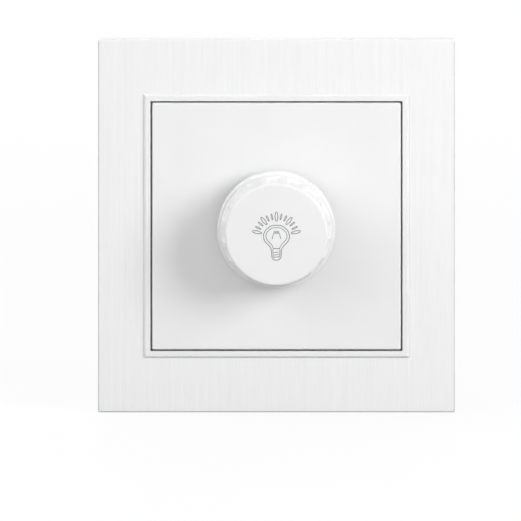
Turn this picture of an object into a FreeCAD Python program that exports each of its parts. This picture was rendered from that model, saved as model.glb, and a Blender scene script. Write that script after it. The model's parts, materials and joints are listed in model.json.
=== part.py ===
import FreeCAD, Part
import math
import os

os.makedirs("parts", exist_ok=True)

# Flush rotary dimmer switch, in millimetres.
# Y = 0 is the wall, -Y points into the room, +Y into the wall box, +Z is up, X = Z = 0 is the knob's axis.

Vec = FreeCAD.Vector
X_AXIS = Vec(1, 0, 0)
Y_AXIS = Vec(0, 1, 0)
Z_AXIS = Vec(0, 0, 1)
UPWARDS = 90.0               # degrees from +X towards +Z
DOWNWARDS = -90.0
HALF_TURN = 180.0

# Decorative frame
frame_width = 82.0
frame_height = 86.4
frame_front = 9.0            # height of its face above the wall
frame_plate = 1.6            # thickness of the face
frame_edge_depth = 3.5       # depth of the turned edge, face included
frame_wall = 1.2
frame_edge_radius = 0.45
frame_face_round = 0.36
window_gap = 0.1             # between the frame's window and the bezel ring

# Base frame, the white moulding whose ring shows round the insert
bezel_size = 61.0
bezel_width = 1.55
bezel_rise = 0.6             # above the decorative frame's face
bezel_bevel = 0.4
carrier_gap = 0.3            # between the carrier and the frame's turned edge
carrier_wall = 1.5
deck_thickness = 1.5
ledge_width = 3.9            # inner ledge that the insert plate presses on
ledge_thickness = 1.6
snap_length = 8.0
snap_depth = 0.8
post_size = 3.0              # corner stand-offs between ledge and support plate
post_inset = 0.6
support_gap = 2.5            # between the base frame and the support plate

# Insert plate
plate_gap = 0.4              # dark line round the plate
plate_rise = 0.4             # above the bezel ring
plate_thickness = 2.0
plate_skirt = 1.5            # thickness of its turned edge
plate_skirt_depth = 2.0
plate_edge_radius = 0.35
cover_nut_radius = 7.5
cover_nut_thickness = 2.2
cover_nut_notch = 1.6
cover_nut_notches = 4
cover_nut_notch_depth = 1.1
cover_nut_rim = 1.5          # brass to notch
cover_nut_round = 0.55

# Knob
knob_gap = 3.4               # between the knob's lip and the insert plate
knob_lip_radius = 13.55
knob_lip_height = 3.4
knob_lip_round = 0.4
knob_groove_depth = 0.35
knob_groove_height = 0.5
knob_grip_base_radius = 12.9
knob_grip_top_radius = 11.75
knob_grip_height = 7.7
knob_edge_round = 0.9
knob_wall = 1.6
knob_face_thickness = 1.8
knob_sleeve_radius = 4.75
knob_web = 1.0
notch_count = 16
notch_phase = 3.0            # degrees, clockwise seen from the room
notch_width = 2.1
notch_start = 0.20           # share of the grip's height, from its rear end
notch_end = 0.88
notch_depth = 0.5
notch_round = 0.3
clip_thickness = 0.4
clip_width = 3.6
clip_end_gap = 0.8

# Shaft and its bushing
shaft_radius = 3.0
shaft_flat = 1.5             # height of the flat above the axis
shaft_tip_gap = 0.2          # between the shaft's tip and the inside of the knob's face
shoulder_radius = 4.25
shoulder_thickness = 0.8
tongue_size = 3.4            # square rear end that turns the wiper carrier
push_travel = 1.5
running_clearance = 0.05
end_clearance = 0.1
circlip_thickness = 0.6
circlip_radius = 4.5
circlip_groove = 0.5
circlip_mouth = 3.4
bushing_radius = 4.0
bushing_above_nut = 0.2
bushing_flange_thickness = 1.2
bushing_bevel = 0.4
hole_clearance = 0.2
nut_across_flats = 11.0
nut_thickness = 2.0
washer_radius = 6.8
washer_thickness = 0.5
washer_tooth = 0.9
washer_teeth = 12

# Support plate and claws
support_thickness = 1.2
support_corner = 6.0
slot_radius = 2.0
slot_length = 7.0
slot_edge = 2.0              # from a slot's end to the support plate's edge
claw_offset = 7.6            # the left claw sits this much above the axis, the right claw below
claw_width = 8.0
claw_strip = 1.2
claw_length = 13.0           # from its pin to its teeth
claw_tooth_reach = 2.7
claw_tooth_height = 1.3
claw_teeth = 3
claw_side_gap = 1.3          # between claw and housing
claw_pin_radius = 1.0
claw_pin_depth = 8.0         # pin's distance behind the wall
knuckle_radius = 1.9
knuckle_length = 2.2
ear_thickness = 1.2
ear_gap = 0.2
ear_width = 3.6
ear_end = 2.0                # ear length past the pin
claw_screw_radius = 1.5
claw_screw_head_radius = 2.9
claw_screw_head_height = 2.2
claw_screw_offset = 3.5      # outside the housing's side
claw_screw_depth = 9.4

# Rear housing
housing_size = 44.0
housing_chamfer = 7.0
housing_wall = 1.5
heat_sink_thickness = 1.5
lid_thickness = 2.0
post_height = 2.9
board_post_radius = 2.0
shelf_gap = 1.9              # between the control's pins and the wall above the terminals
vent_width = 1.3
vent_length = 11.0
vent_pitch = 4.0
vent_count = 5
vent_height = 8.5
housing_screw_radius = 1.5
housing_screw_head_radius = 2.75
housing_screw_head_height = 2.0
housing_screw_length = 10.0
housing_boss_radius = 3.0
housing_screw_end = 1.5      # hole left past the screw's tip
lower_screw_drop = 2.5       # below the terminals' shelf
lower_screw_inset = 4.5      # sideways from the housing's chamfer
upper_screw_side = 6.0       # from the housing's side and top
upper_screw_top = 6.4
recess_width = 0.8
recess_depth = 1.0
recess_share = 0.6           # recess reach as a share of the head's radius
head_round = 0.7

# Terminals
pillar_side_gap = 1.03
pillar_foot = 0.9            # from the housing's foot to the pillars
pillar_roof = 1.0            # moulding above the pillars
pillar_bevel = 0.4
pillar_depth = 10.0
wire_radius = 1.5
wire_wall = 1.4              # brass above the wire hole
trough_side = 1.0            # from the trough to the housing's corner
trough_depth = 12.0
tail_root = 0.7
divider = 1.3
terminal_screw_radius = 1.45
terminal_screw_tip_gap = 0.1
tail_width = 1.2
tail_thickness = 0.8
tail_overlap = 1.4           # height of the tail above the shelf
tail_clearance = 0.2

# Rotary control
pot_radius = 8.5
pot_depth = 7.0
pot_wall = 1.2
pot_floor = 1.0
track_inner = 4.6
track_outer = 6.6
track_thickness = 0.6
track_angle = 290.0
carrier_radius = 6.4
carrier_disc = 1.0
carrier_ring_wall = 1.0
shoulder_gap = 0.2           # between the shaft's shoulder and the carrier's ring
carrier_hub_radius = 3.9
spigot_radius = 3.25
turn_range = 135.0           # degrees each way
stop_width = 10.0            # half angle of the carrier's stop
stop_height = 0.6
stop_clearance = 2.0         # degrees
stop_gap = 0.15
stop_root = 0.5
brush_thickness = 0.3
brush_width = 1.6
brush_edge = 0.2
lead_radius = 0.3
lead_out = 0.8               # leads show this much behind the board
pin_width = 0.8
pot_pin_pitch = 3.5
pot_pin_thickness = 0.6

# Push switch
switch_size = 14.0
switch_depth = 7.5
switch_wall = 1.2
switch_floor = 1.0
switch_corner = 0.6
plunger_radius = 2.4
plunger_head_radius = 4.2
plunger_head = 1.4
plunger_pin_radius = 1.2
plunger_pin_length = 1.1
plunger_lead_in = 0.6
contact_thickness = 0.4
contact_length = 10.4
contact_width = 3.0
contact_spacing = 8.8
contact_radius = 0.9
contact_strip = 0.6
spring_radius = 1.7
spring_wire = 0.175
spring_turns = 4

# Circuit board and its components
board_thickness = 1.6
board_edge_gap = 0.4
board_screw_radius = 1.0
board_screw_head_radius = 1.75
board_screw_head_height = 1.4
board_screw_length = 3.6
board_screw_side = 2.5       # from the inner wall
board_screw_gap = 1.9        # above the trimmer
part_gap = 0.8
seat_depth = 1.0             # lead length inside a component

triac_side_gap = 0.9
triac_body_length = 9.0
triac_tab_length = 6.5
triac_body_depth = 4.5
triac_tab_thickness = 1.3
triac_foot = -1.0            # height of the body's lower end
triac_pad_thickness = 0.3
triac_pad_margin = 0.3
triac_lead_pitch = 2.54
triac_lead_drop = 2.8
triac_screw_radius = 1.5
triac_screw_head_radius = 2.6
triac_screw_head_height = 1.9
triac_hole_shift = 0.3
triac_lead_thickness = 0.5
triac_lead_level = 2.5       # from the pad to the leads

choke_gap = 0.4
choke_shelf_gap = 1.0
choke_core_width = 1.9
choke_core_height = 4.6
choke_core_bevel = 0.3
choke_wire = 0.7
choke_round = 0.56
choke_open_angle = 50.0
choke_open_middle = 45.0
choke_lead_share = 0.55

filter_pot_gap = 0.4
filter_wall_gap = 0.5
filter_lead_gap = 1.6        # below the triac's leads
filter_height = 10.5
box_lead_inset = 1.2
film_length = 7.0
film_width = 2.8
film_height = 6.5
film_z = 6.4
component_round = 0.4

diac_radius = 1.1
diac_length = 4.2
resistor_radius = 1.15
resistor_length = 6.0
axial_lead = 1.6             # lead length from body to bend

fuse_radius = 2.3
fuse_cap_radius = 2.6
fuse_cap_length = 5.0
fuse_length = 20.0
fuse_wall = 0.4
fuse_top_gap = 0.55          # from the clips to the housing's inner wall
clip_metal = 0.45
clip_base = 0.6
clip_length = 4.0
clip_arm = 1.6

trimmer_drop = 7.8           # below the upper housing screw
trimmer_size = 6.4
trimmer_pin_inset = 1.0
trimmer_height = 5.4
trimmer_dial_radius = 2.25
trimmer_dial_depth = 1.3
trimmer_access_radius = 2.2
dial_slot_length = 3.4
slot_cut = 0.7

# Levels along Y that follow from the sizes above
plate_front = -(frame_front + bezel_rise + plate_rise)
plate_rear = plate_front + plate_thickness
bezel_front = -(frame_front + bezel_rise)
deck_front = -frame_front + frame_plate
ledge_front = plate_rear + plate_skirt_depth
ledge_rear = ledge_front + ledge_thickness
support_front = -support_thickness
sink_rear = heat_sink_thickness
lid_rear = sink_rear + lid_thickness
pot_rear = lid_rear + pot_depth
board_front = pot_rear + switch_depth
board_rear = board_front + board_thickness
floor_front = board_rear + post_height
housing_rear_y = floor_front + housing_wall
lead_end = board_rear + lead_out

knob_rear = plate_front - knob_gap
lip_front = knob_rear - knob_lip_height
grip_rear = lip_front - knob_groove_height
grip_front = grip_rear - knob_grip_height
face_inside = grip_front + knob_face_thickness
bushing_front = plate_front - cover_nut_thickness - bushing_above_nut
circlip_rear = bushing_front - push_travel - end_clearance
circlip_front = circlip_rear - circlip_thickness
flange_rear = lid_rear + bushing_flange_thickness
shoulder_front = flange_rear + end_clearance
shoulder_rear = shoulder_front + shoulder_thickness
disc_front = shoulder_rear + push_travel + end_clearance
disc_rear = disc_front + carrier_disc
pot_floor_front = pot_rear - pot_floor
track_front = pot_floor_front - track_thickness
tongue_end = pot_rear + plunger_lead_in
plunger_front = tongue_end + end_clearance
switch_inside = pot_rear + switch_wall
plunger_head_front = switch_inside + plunger_lead_in
plunger_head_rear = plunger_head_front + plunger_head
contact_rear = plunger_head_rear + contact_thickness
switch_floor_front = board_front - switch_floor

# Sideways places that follow from the sizes above
plate_size = bezel_size - 2 * (bezel_width + plate_gap)
carrier_width = frame_width - 2 * (frame_wall + carrier_gap)
carrier_height = frame_height - 2 * (frame_wall + carrier_gap)
support_size = min(carrier_width, carrier_height) - 2 * (carrier_wall + support_gap)
box_screw_spacing = support_size - slot_length - 2 * slot_edge
half_housing = housing_size / 2
half_inside = half_housing - housing_wall
side_room = half_inside - pot_radius
side_middle = pot_radius + side_room / 2
pot_pin_reach = pot_radius + pot_pin_thickness
shelf_top = -(pot_pin_reach + shelf_gap)
shelf_bottom = shelf_top - housing_wall
pillar_top = shelf_bottom - pillar_roof
pillar_height = half_housing + pillar_top - pillar_foot
trough_width = 2 * (half_housing - housing_chamfer - trough_side)
pillar_pitch = (trough_width + divider) / 3
pillar_width = pillar_pitch - divider - 2 * pillar_side_gap
lower_screw_z = shelf_bottom - lower_screw_drop
lower_screw_x = housing_size - housing_chamfer + lower_screw_z - lower_screw_inset
upper_screw_x = upper_screw_side - half_housing
upper_screw_z = half_housing - upper_screw_top
claw_x = half_housing + claw_side_gap + claw_strip / 2
claw_screw_x = half_housing + claw_screw_offset
ear_outer_z = claw_width / 2 + ear_gap + ear_thickness
triac_width = side_room - 2 * triac_side_gap
triac_x = side_middle
triac_top = triac_foot + triac_body_length + triac_tab_length
triac_hole_z = triac_top - triac_tab_length / 2 + triac_hole_shift
triac_lead_foot = triac_foot - triac_lead_drop
choke_outer = side_room / 2 - choke_gap
choke_x = -side_middle
choke_z = shelf_top + choke_shelf_gap + choke_outer
choke_core_outer = choke_outer - choke_wire
choke_core_inner = choke_core_outer - choke_core_width
filter_left = switch_size / 2 + filter_pot_gap
filter_right = half_inside - filter_wall_gap
filter_bottom = shelf_top + part_gap
filter_top = triac_lead_foot - filter_lead_gap
film_x = side_middle
trimmer_x = -side_middle
trimmer_z = upper_screw_z - trimmer_drop
fuse_clip_half = fuse_cap_radius + clip_metal
fuse_z = half_inside - fuse_top_gap - fuse_clip_half
row_gap = (fuse_z - fuse_clip_half - switch_size / 2 - 2 * (diac_radius + resistor_radius)) / 3
diac_z = switch_size / 2 + row_gap + diac_radius
resistor_z = fuse_z - fuse_clip_half - row_gap - resistor_radius
wire_z = pillar_top - wire_wall - wire_radius
board_screw_x = half_inside - board_screw_side
board_screw_z = trimmer_z + trimmer_size / 2 + board_screw_gap


def block(x0, x1, y0, y1, z0, z1):
    return Part.makeBox(x1 - x0, y1 - y0, z1 - z0, Vec(x0, y0, z0))


def rod_y(radius, y0, y1, x=0.0, z=0.0):
    return Part.makeCylinder(radius, y1 - y0, Vec(x, y0, z), Y_AXIS)


def rod_x(radius, x0, x1, y, z):
    return Part.makeCylinder(radius, x1 - x0, Vec(x0, y, z), X_AXIS)


def rod_z(radius, z0, z1, x, y):
    return Part.makeCylinder(radius, z1 - z0, Vec(x, y, z0), Z_AXIS)


def prism_y(points, y0, y1):
    # points are (x, z) pairs
    wire = Part.makePolygon([Vec(x, y0, z) for x, z in points + points[:1]])
    return Part.Face(wire).extrude(Vec(0, y1 - y0, 0))


def edges_along(shape, axis):
    found = []
    for edge in shape.Edges:
        if isinstance(edge.Curve, Part.Line) and abs(abs(edge.Curve.Direction.dot(axis)) - 1) < 1e-6:
            found.append(edge)
    return found


def edges_at_y(shape, y):
    box_of = [(edge, edge.BoundBox) for edge in shape.Edges]
    return [edge for edge, box in box_of if abs(box.YMin - y) < 1e-4 and abs(box.YMax - y) < 1e-4]


def slab(width, height, y0, y1, corner=0.0):
    body = block(-width / 2, width / 2, y0, y1, -height / 2, height / 2)
    if corner > 0:
        body = body.makeFillet(corner, edges_along(body, Y_AXIS))
    return body


def octagon(inset, y0, y1):
    # the housing's outline, drawn in by inset
    half = half_housing - inset
    cut = housing_chamfer - inset * (2 - math.sqrt(2))
    corner = half - cut
    return prism_y([(-corner, -half), (corner, -half), (half, -corner), (half, corner),
                    (corner, half), (-corner, half), (-half, corner), (-half, -corner)], y0, y1)


def above(z, y0, y1):
    return block(-housing_size, housing_size, y0, y1, z, housing_size)


def below(z, y0, y1):
    return block(-housing_size, housing_size, y0, y1, -housing_size, z)


def cross_recess(y_head, x, z, reach):
    half = recess_width / 2
    bar = block(x - reach, x + reach, y_head, y_head + recess_depth, z - half, z + half)
    return bar.fuse(block(x - half, x + half, y_head, y_head + recess_depth, z - reach, z + reach))


def screw_y(x, z, y_seat, head_radius, head_height, shank_radius, length):
    # head towards the room, shank running to +Y from the seat
    head = rod_y(head_radius, y_seat - head_height, y_seat, x, z)
    head = head.makeFillet(head_round, edges_at_y(head, y_seat - head_height))
    body = head.fuse(rod_y(shank_radius, y_seat, y_seat + length, x, z))
    return body.cut(cross_recess(y_seat - head_height, x, z, head_radius * recess_share))


def hexagon(across_flats, y0, y1):
    radius = across_flats / math.sqrt(3)
    turns = [math.radians(60 * i + 30) for i in range(6)]
    return prism_y([(radius * math.cos(a), radius * math.sin(a)) for a in turns], y0, y1)


def square_bar(size, y0, y1):
    return block(-size / 2, size / 2, y0, y1, -size / 2, size / 2)


def ring_sector(inner, outer, y0, y1, half_angle, middle):
    # a part of a ring about the Y axis, centred on the angle middle from +X towards +Z
    face_point = [Vec(inner, y0, 0), Vec(outer, y0, 0), Vec(outer, y1, 0), Vec(inner, y1, 0)]
    face = Part.Face(Part.makePolygon(face_point + face_point[:1]))
    face.rotate(Vec(0, 0, 0), Y_AXIS, -(middle - half_angle))
    return face.revolve(Vec(0, 0, 0), Y_AXIS, -2 * half_angle)


def upright_lead(x, z, y_from):
    return rod_y(lead_radius, y_from, lead_end, x, z)


def make_decor_frame():
    body = slab(frame_width, frame_height, -frame_front, -frame_front + frame_edge_depth, frame_edge_radius)
    body = body.makeFillet(frame_face_round, edges_at_y(body, -frame_front))
    inner_w = frame_width - 2 * frame_wall
    inner_h = frame_height - 2 * frame_wall
    body = body.cut(slab(inner_w, inner_h, deck_front, 0))
    window = bezel_size + 2 * window_gap
    return body.cut(slab(window, window, -frame_front, deck_front))


def make_base_frame():
    deck = slab(carrier_width, carrier_height, deck_front, 0, frame_edge_radius)
    hollow = slab(carrier_width - 2 * carrier_wall, carrier_height - 2 * carrier_wall,
                  deck_front + deck_thickness, 0, frame_edge_radius)
    ring = slab(bezel_size, bezel_size, bezel_front, ledge_rear)
    ring = ring.makeChamfer(bezel_bevel, edges_at_y(ring, bezel_front))
    body = deck.cut(hollow).fuse(ring)
    opening = bezel_size - 2 * bezel_width
    body = body.cut(slab(opening, opening, bezel_front, ledge_front))
    body = body.cut(slab(opening - 2 * ledge_width, opening - 2 * ledge_width, bezel_front, ledge_rear))
    post_centre = opening / 2 - post_inset
    for side_x in (-1, 1):
        for side_z in (-1, 1):
            x = side_x * post_centre
            z = side_z * post_centre
            body = body.fuse(block(x - post_size / 2, x + post_size / 2, ledge_rear, support_front,
                                   z - post_size / 2, z + post_size / 2))
    snap_y = -frame_front + frame_edge_depth - snap_depth
    for side in (-1, 1):
        x0 = side * carrier_width / 2
        x1 = x0 + side * carrier_gap
        z0 = side * carrier_height / 2
        z1 = z0 + side * carrier_gap
        body = body.fuse(block(min(x0, x1), max(x0, x1), snap_y - snap_depth, snap_y,
                               -snap_length / 2, snap_length / 2))
        body = body.fuse(block(-snap_length / 2, snap_length / 2, snap_y - snap_depth, snap_y,
                               min(z0, z1), max(z0, z1)))
    return body.removeSplitter()


def make_cover_plate():
    body = slab(plate_size, plate_size, plate_front, ledge_front, plate_edge_radius)
    body = body.makeFillet(plate_edge_radius, edges_at_y(body, plate_front))
    body = body.cut(slab(plate_size - 2 * plate_skirt, plate_size - 2 * plate_skirt, plate_rear, ledge_front))
    return body.cut(rod_y(bushing_radius + hole_clearance, plate_front, plate_rear))


def make_cover_nut():
    body = rod_y(cover_nut_radius, plate_front - cover_nut_thickness, plate_front)
    body = body.makeFillet(cover_nut_round, edges_at_y(body, plate_front - cover_nut_thickness))
    body = body.cut(rod_y(bushing_radius, plate_front - cover_nut_thickness, plate_front))
    for i in range(cover_nut_notches):
        notch = block(-cover_nut_notch / 2, cover_nut_notch / 2, plate_front - cover_nut_thickness,
                      plate_front - cover_nut_thickness + cover_nut_notch_depth,
                      bushing_radius + cover_nut_rim, cover_nut_radius)
        notch.rotate(Vec(0, 0, 0), Y_AXIS, 360 / cover_nut_notches * i)
        body = body.cut(notch)
    return body


def knob_profile():
    # the outside of the knob as (radius, y) points, rear to front, then the edge's round
    lip = knob_lip_radius
    neck = knob_grip_base_radius - knob_groove_depth
    r = knob_lip_round
    edges = []
    points = [(lip, knob_rear), (lip, lip_front + r)]
    arc_mid = (lip - r + r * math.sin(math.pi / 4), lip_front + r - r * math.sin(math.pi / 4))
    arc_end = (lip - r, lip_front)
    edges.append(Part.makeLine(Vec(points[0][0], points[0][1], 0), Vec(points[1][0], points[1][1], 0)))
    edges.append(Part.Arc(Vec(points[1][0], points[1][1], 0), Vec(arc_mid[0], arc_mid[1], 0),
                          Vec(arc_end[0], arc_end[1], 0)).toShape())
    slope = (knob_grip_base_radius - knob_grip_top_radius) / knob_grip_height
    round_start = (knob_grip_top_radius + slope * knob_edge_round, grip_front + knob_edge_round)
    round_end = (knob_grip_top_radius - knob_edge_round, grip_front)
    corner_shift = knob_edge_round * (1 - math.sin(math.pi / 4))
    round_mid = (knob_grip_top_radius - corner_shift, grip_front + corner_shift)
    path = [arc_end, (neck, lip_front), (neck, grip_rear), (knob_grip_base_radius, grip_rear), round_start]
    for start, end in zip(path[:-1], path[1:]):
        edges.append(Part.makeLine(Vec(start[0], start[1], 0), Vec(end[0], end[1], 0)))
    edges.append(Part.Arc(Vec(round_start[0], round_start[1], 0), Vec(round_mid[0], round_mid[1], 0),
                          Vec(round_end[0], round_end[1], 0)).toShape())
    edges.append(Part.makeLine(Vec(round_end[0], round_end[1], 0), Vec(0, grip_front, 0)))
    edges.append(Part.makeLine(Vec(0, grip_front, 0), Vec(0, knob_rear, 0)))
    edges.append(Part.makeLine(Vec(0, knob_rear, 0), Vec(lip, knob_rear, 0)))
    return Part.Face(Part.Wire(edges))


def grip_notch():
    # one rounded finger notch at the top of the grip, lying along its slope
    slope = math.degrees(math.atan((knob_grip_base_radius - knob_grip_top_radius) / knob_grip_height))
    length = knob_grip_height * (notch_end - notch_start)
    middle = (notch_start + notch_end) / 2
    radius = knob_grip_base_radius - (knob_grip_base_radius - knob_grip_top_radius) * middle
    y = grip_rear - knob_grip_height * middle
    half = notch_width / 2
    reach = length / 2 - half
    cutter = block(-half, half, -reach, reach, -notch_depth, notch_width)
    for end in (-reach, reach):
        cutter = cutter.fuse(rod_z(half, -notch_depth, notch_width, 0, end))
    cutter = cutter.removeSplitter()
    floor = [edge for edge in cutter.Edges if abs(edge.BoundBox.ZMax + notch_depth) < 1e-4]
    cutter = cutter.makeFillet(notch_round, floor)
    cutter.rotate(Vec(0, 0, 0), X_AXIS, slope)
    cutter.translate(Vec(0, y, radius))
    return cutter


def make_knob():
    body = knob_profile().revolve(Vec(0, 0, 0), Y_AXIS, 360)
    inner_base = knob_grip_base_radius - knob_groove_depth - knob_wall
    inner_top = knob_grip_top_radius - knob_wall
    hollow = Part.makeCone(inner_base, inner_top, knob_rear - face_inside, Vec(0, knob_rear, 0), -Y_AXIS)
    sleeve = rod_y(knob_sleeve_radius, face_inside, circlip_front)
    webs = block(-inner_base, inner_base, face_inside, grip_rear, -knob_web / 2, knob_web / 2)
    webs = webs.fuse(block(-knob_web / 2, knob_web / 2, face_inside, grip_rear, -inner_base, inner_base))
    body = body.cut(hollow.cut(sleeve).cut(webs))
    bore = rod_y(shaft_radius, face_inside, circlip_front)
    flat = block(-shaft_radius, shaft_radius, face_inside, circlip_front,
                 shaft_flat + clip_thickness, shaft_radius)
    body = body.cut(bore.cut(flat))
    for i in range(notch_count):
        notch = grip_notch()
        notch.rotate(Vec(0, 0, 0), Y_AXIS, notch_phase + 360 / notch_count * i)
        body = body.cut(notch)
    return body


def make_knob_clip():
    front = face_inside + clip_end_gap
    rear = circlip_front - clip_end_gap
    half = clip_width / 2
    leaf = block(-half, half, front, rear, shaft_flat, shaft_flat + clip_thickness)
    return leaf.common(rod_y(shaft_radius, front, rear))


def make_control_shaft():
    tip = face_inside + shaft_tip_gap
    body = rod_y(shaft_radius, tip, shoulder_front)
    body = body.cut(block(-shaft_radius, shaft_radius, tip, circlip_front, shaft_flat, shaft_radius))
    body = body.fuse(rod_y(shoulder_radius, shoulder_front, shoulder_rear))
    body = body.fuse(square_bar(tongue_size, shoulder_rear, tongue_end))
    groove = rod_y(circlip_radius, circlip_front, circlip_rear)
    return body.cut(groove.cut(rod_y(shaft_radius - circlip_groove, circlip_front, circlip_rear)))


def make_shaft_circlip():
    ring = rod_y(circlip_radius, circlip_front, circlip_rear)
    ring = ring.cut(rod_y(shaft_radius - circlip_groove, circlip_front, circlip_rear))
    return ring.cut(block(-circlip_mouth / 2, circlip_mouth / 2, circlip_front, circlip_rear,
                          -circlip_radius, 0))


def make_pot_bushing():
    body = rod_y(bushing_radius, bushing_front, lid_rear)
    body = body.makeChamfer(bushing_bevel, edges_at_y(body, bushing_front))
    body = body.fuse(rod_y(pot_radius - pot_wall, lid_rear, flange_rear))
    return body.cut(rod_y(shaft_radius + running_clearance, bushing_front, flange_rear))


def make_bushing_nut():
    rear = support_front - washer_thickness
    body = hexagon(nut_across_flats, rear - nut_thickness, rear)
    return body.cut(rod_y(bushing_radius, rear - nut_thickness, rear))


def make_lock_washer():
    front = support_front - washer_thickness
    body = rod_y(washer_radius, front, support_front).cut(rod_y(bushing_radius, front, support_front))
    for i in range(washer_teeth):
        tooth = block(-washer_tooth / 2, washer_tooth / 2, front, support_front,
                      washer_radius - washer_tooth, washer_radius)
        tooth.rotate(Vec(0, 0, 0), Y_AXIS, 360 / washer_teeth * i)
        body = body.cut(tooth)
    return body


def box_slot(along_x, centre):
    reach = slot_length / 2 - slot_radius
    depth = (support_front, 0)
    if along_x:
        body = block(centre - reach, centre + reach, depth[0], depth[1], -slot_radius, slot_radius)
        ends = [(centre - reach, 0), (centre + reach, 0)]
    else:
        body = block(-slot_radius, slot_radius, depth[0], depth[1], centre - reach, centre + reach)
        ends = [(0, centre - reach), (0, centre + reach)]
    for x, z in ends:
        body = body.fuse(rod_y(slot_radius, depth[0], depth[1], x, z))
    return body


def housing_screw_places():
    return [(lower_screw_x, lower_screw_z), (-lower_screw_x, lower_screw_z), (upper_screw_x, upper_screw_z)]


def front_holes(y0, y1, bushing_hole):
    # the holes that support plate, heat sink and lid have in common
    body = rod_y(bushing_hole, y0, y1)
    for x, z in housing_screw_places():
        body = body.fuse(rod_y(housing_screw_radius, y0, y1, x, z))
    return body.fuse(rod_y(trimmer_access_radius, y0, y1, trimmer_x, trimmer_z))


def claw_side(shape, side):
    # claw parts are drawn on the right at z = 0, then moved to their own side
    if side < 0:
        shape = shape.mirror(Vec(0, 0, 0), X_AXIS)
    shape.translate(Vec(0, 0, -side * claw_offset))
    return shape


def claw_ears():
    body = None
    for side_z in (-1, 1):
        inner = side_z * (claw_width / 2 + ear_gap)
        outer = side_z * ear_outer_z
        ear = block(claw_x - ear_width / 2, claw_x + ear_width / 2, 0, claw_pin_depth + ear_end,
                    min(inner, outer), max(inner, outer))
        body = ear if body is None else body.fuse(ear)
    return body.cut(rod_z(claw_pin_radius, -ear_outer_z, ear_outer_z, claw_x, claw_pin_depth))


def make_support_plate():
    body = slab(support_size, support_size, support_front, 0, support_corner)
    body = body.cut(front_holes(support_front, 0, bushing_radius))
    for side in (-1, 1):
        centre = side * box_screw_spacing / 2
        body = body.cut(box_slot(True, centre)).cut(box_slot(False, centre))
        hole = rod_y(claw_screw_radius, support_front, 0, claw_screw_x, 0)
        body = body.cut(claw_side(hole, side))
        body = body.fuse(claw_side(claw_ears(), side))
    return body.removeSplitter()


def make_claw(side):
    strip_x0 = claw_x - claw_strip / 2
    strip_x1 = claw_x + claw_strip / 2
    half = claw_width / 2
    strap_rear = claw_pin_depth + claw_length
    web_front = claw_pin_depth + knuckle_radius + claw_strip
    body = block(strip_x0, strip_x1, web_front, strap_rear, -half, half)
    for end in (-1, 1):
        z0 = end * half
        z1 = end * (half - knuckle_length)
        low = min(z0, z1)
        high = max(z0, z1)
        body = body.fuse(rod_z(knuckle_radius, low, high, claw_x, claw_pin_depth))
        body = body.fuse(block(strip_x0, strip_x1, claw_pin_depth, web_front, low, high))
    teeth = []
    pitch = claw_width / claw_teeth
    for i in range(claw_teeth):
        low = -half + i * pitch
        teeth += [(strip_x1 + claw_tooth_reach - claw_tooth_height, low),
                  (strip_x1 + claw_tooth_reach, low + pitch / 2)]
    teeth += [(strip_x1 + claw_tooth_reach - claw_tooth_height, half), (strip_x0, half), (strip_x0, -half)]
    body = body.fuse(prism_y(teeth, strap_rear - claw_strip, strap_rear))
    body = body.cut(rod_z(claw_pin_radius + running_clearance, -half, half, claw_x, claw_pin_depth))
    return claw_side(body.removeSplitter(), side)


def make_claw_pins():
    # short pins through ear and knuckle, which leave the middle free for the claw screw
    inner = claw_width / 2 - knuckle_length
    pins = []
    for side in (-1, 1):
        for low in (-ear_outer_z, inner):
            pin = rod_z(claw_pin_radius, low, low + ear_outer_z - inner, claw_x, claw_pin_depth)
            pins.append(claw_side(pin, side))
    return Part.makeCompound(pins)


def make_claw_screws():
    screws = []
    for side in (-1, 1):
        screws.append(screw_y(side * claw_screw_x, -side * claw_offset, support_front, claw_screw_head_radius,
                              claw_screw_head_height, claw_screw_radius, claw_screw_depth + support_thickness))
    return Part.makeCompound(screws)


def make_heat_sink():
    body = octagon(0, 0, sink_rear).cut(front_holes(0, sink_rear, bushing_radius + hole_clearance))
    return body.cut(rod_y(triac_screw_radius, 0, sink_rear, triac_x, triac_hole_z))


def triac_window(margin, y0, y1):
    half = triac_width / 2 + margin
    return block(triac_x - half, triac_x + half, y0, y1, triac_foot - margin, triac_top + margin)


def make_housing_lid():
    body = octagon(0, sink_rear, lid_rear)
    body = body.cut(front_holes(sink_rear, lid_rear, bushing_radius + hole_clearance))
    return body.cut(triac_window(triac_pad_margin, sink_rear, lid_rear))


def board_posts():
    # the first two carry screws, the others only support the board
    return [(board_screw_x, 0), (-board_screw_x, board_screw_z),
            (board_screw_x, board_screw_z), (-board_screw_x, 0)]


def tail_slots(margin):
    body = None
    for i in (-1, 0, 1):
        x = i * pillar_pitch
        slot = block(x - tail_width / 2 - margin, x + tail_width / 2 + margin, board_rear - margin,
                     board_rear + tail_thickness + margin, pillar_top - tail_root, shelf_top + tail_overlap)
        body = slot if body is None else body.fuse(slot)
    return body


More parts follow.
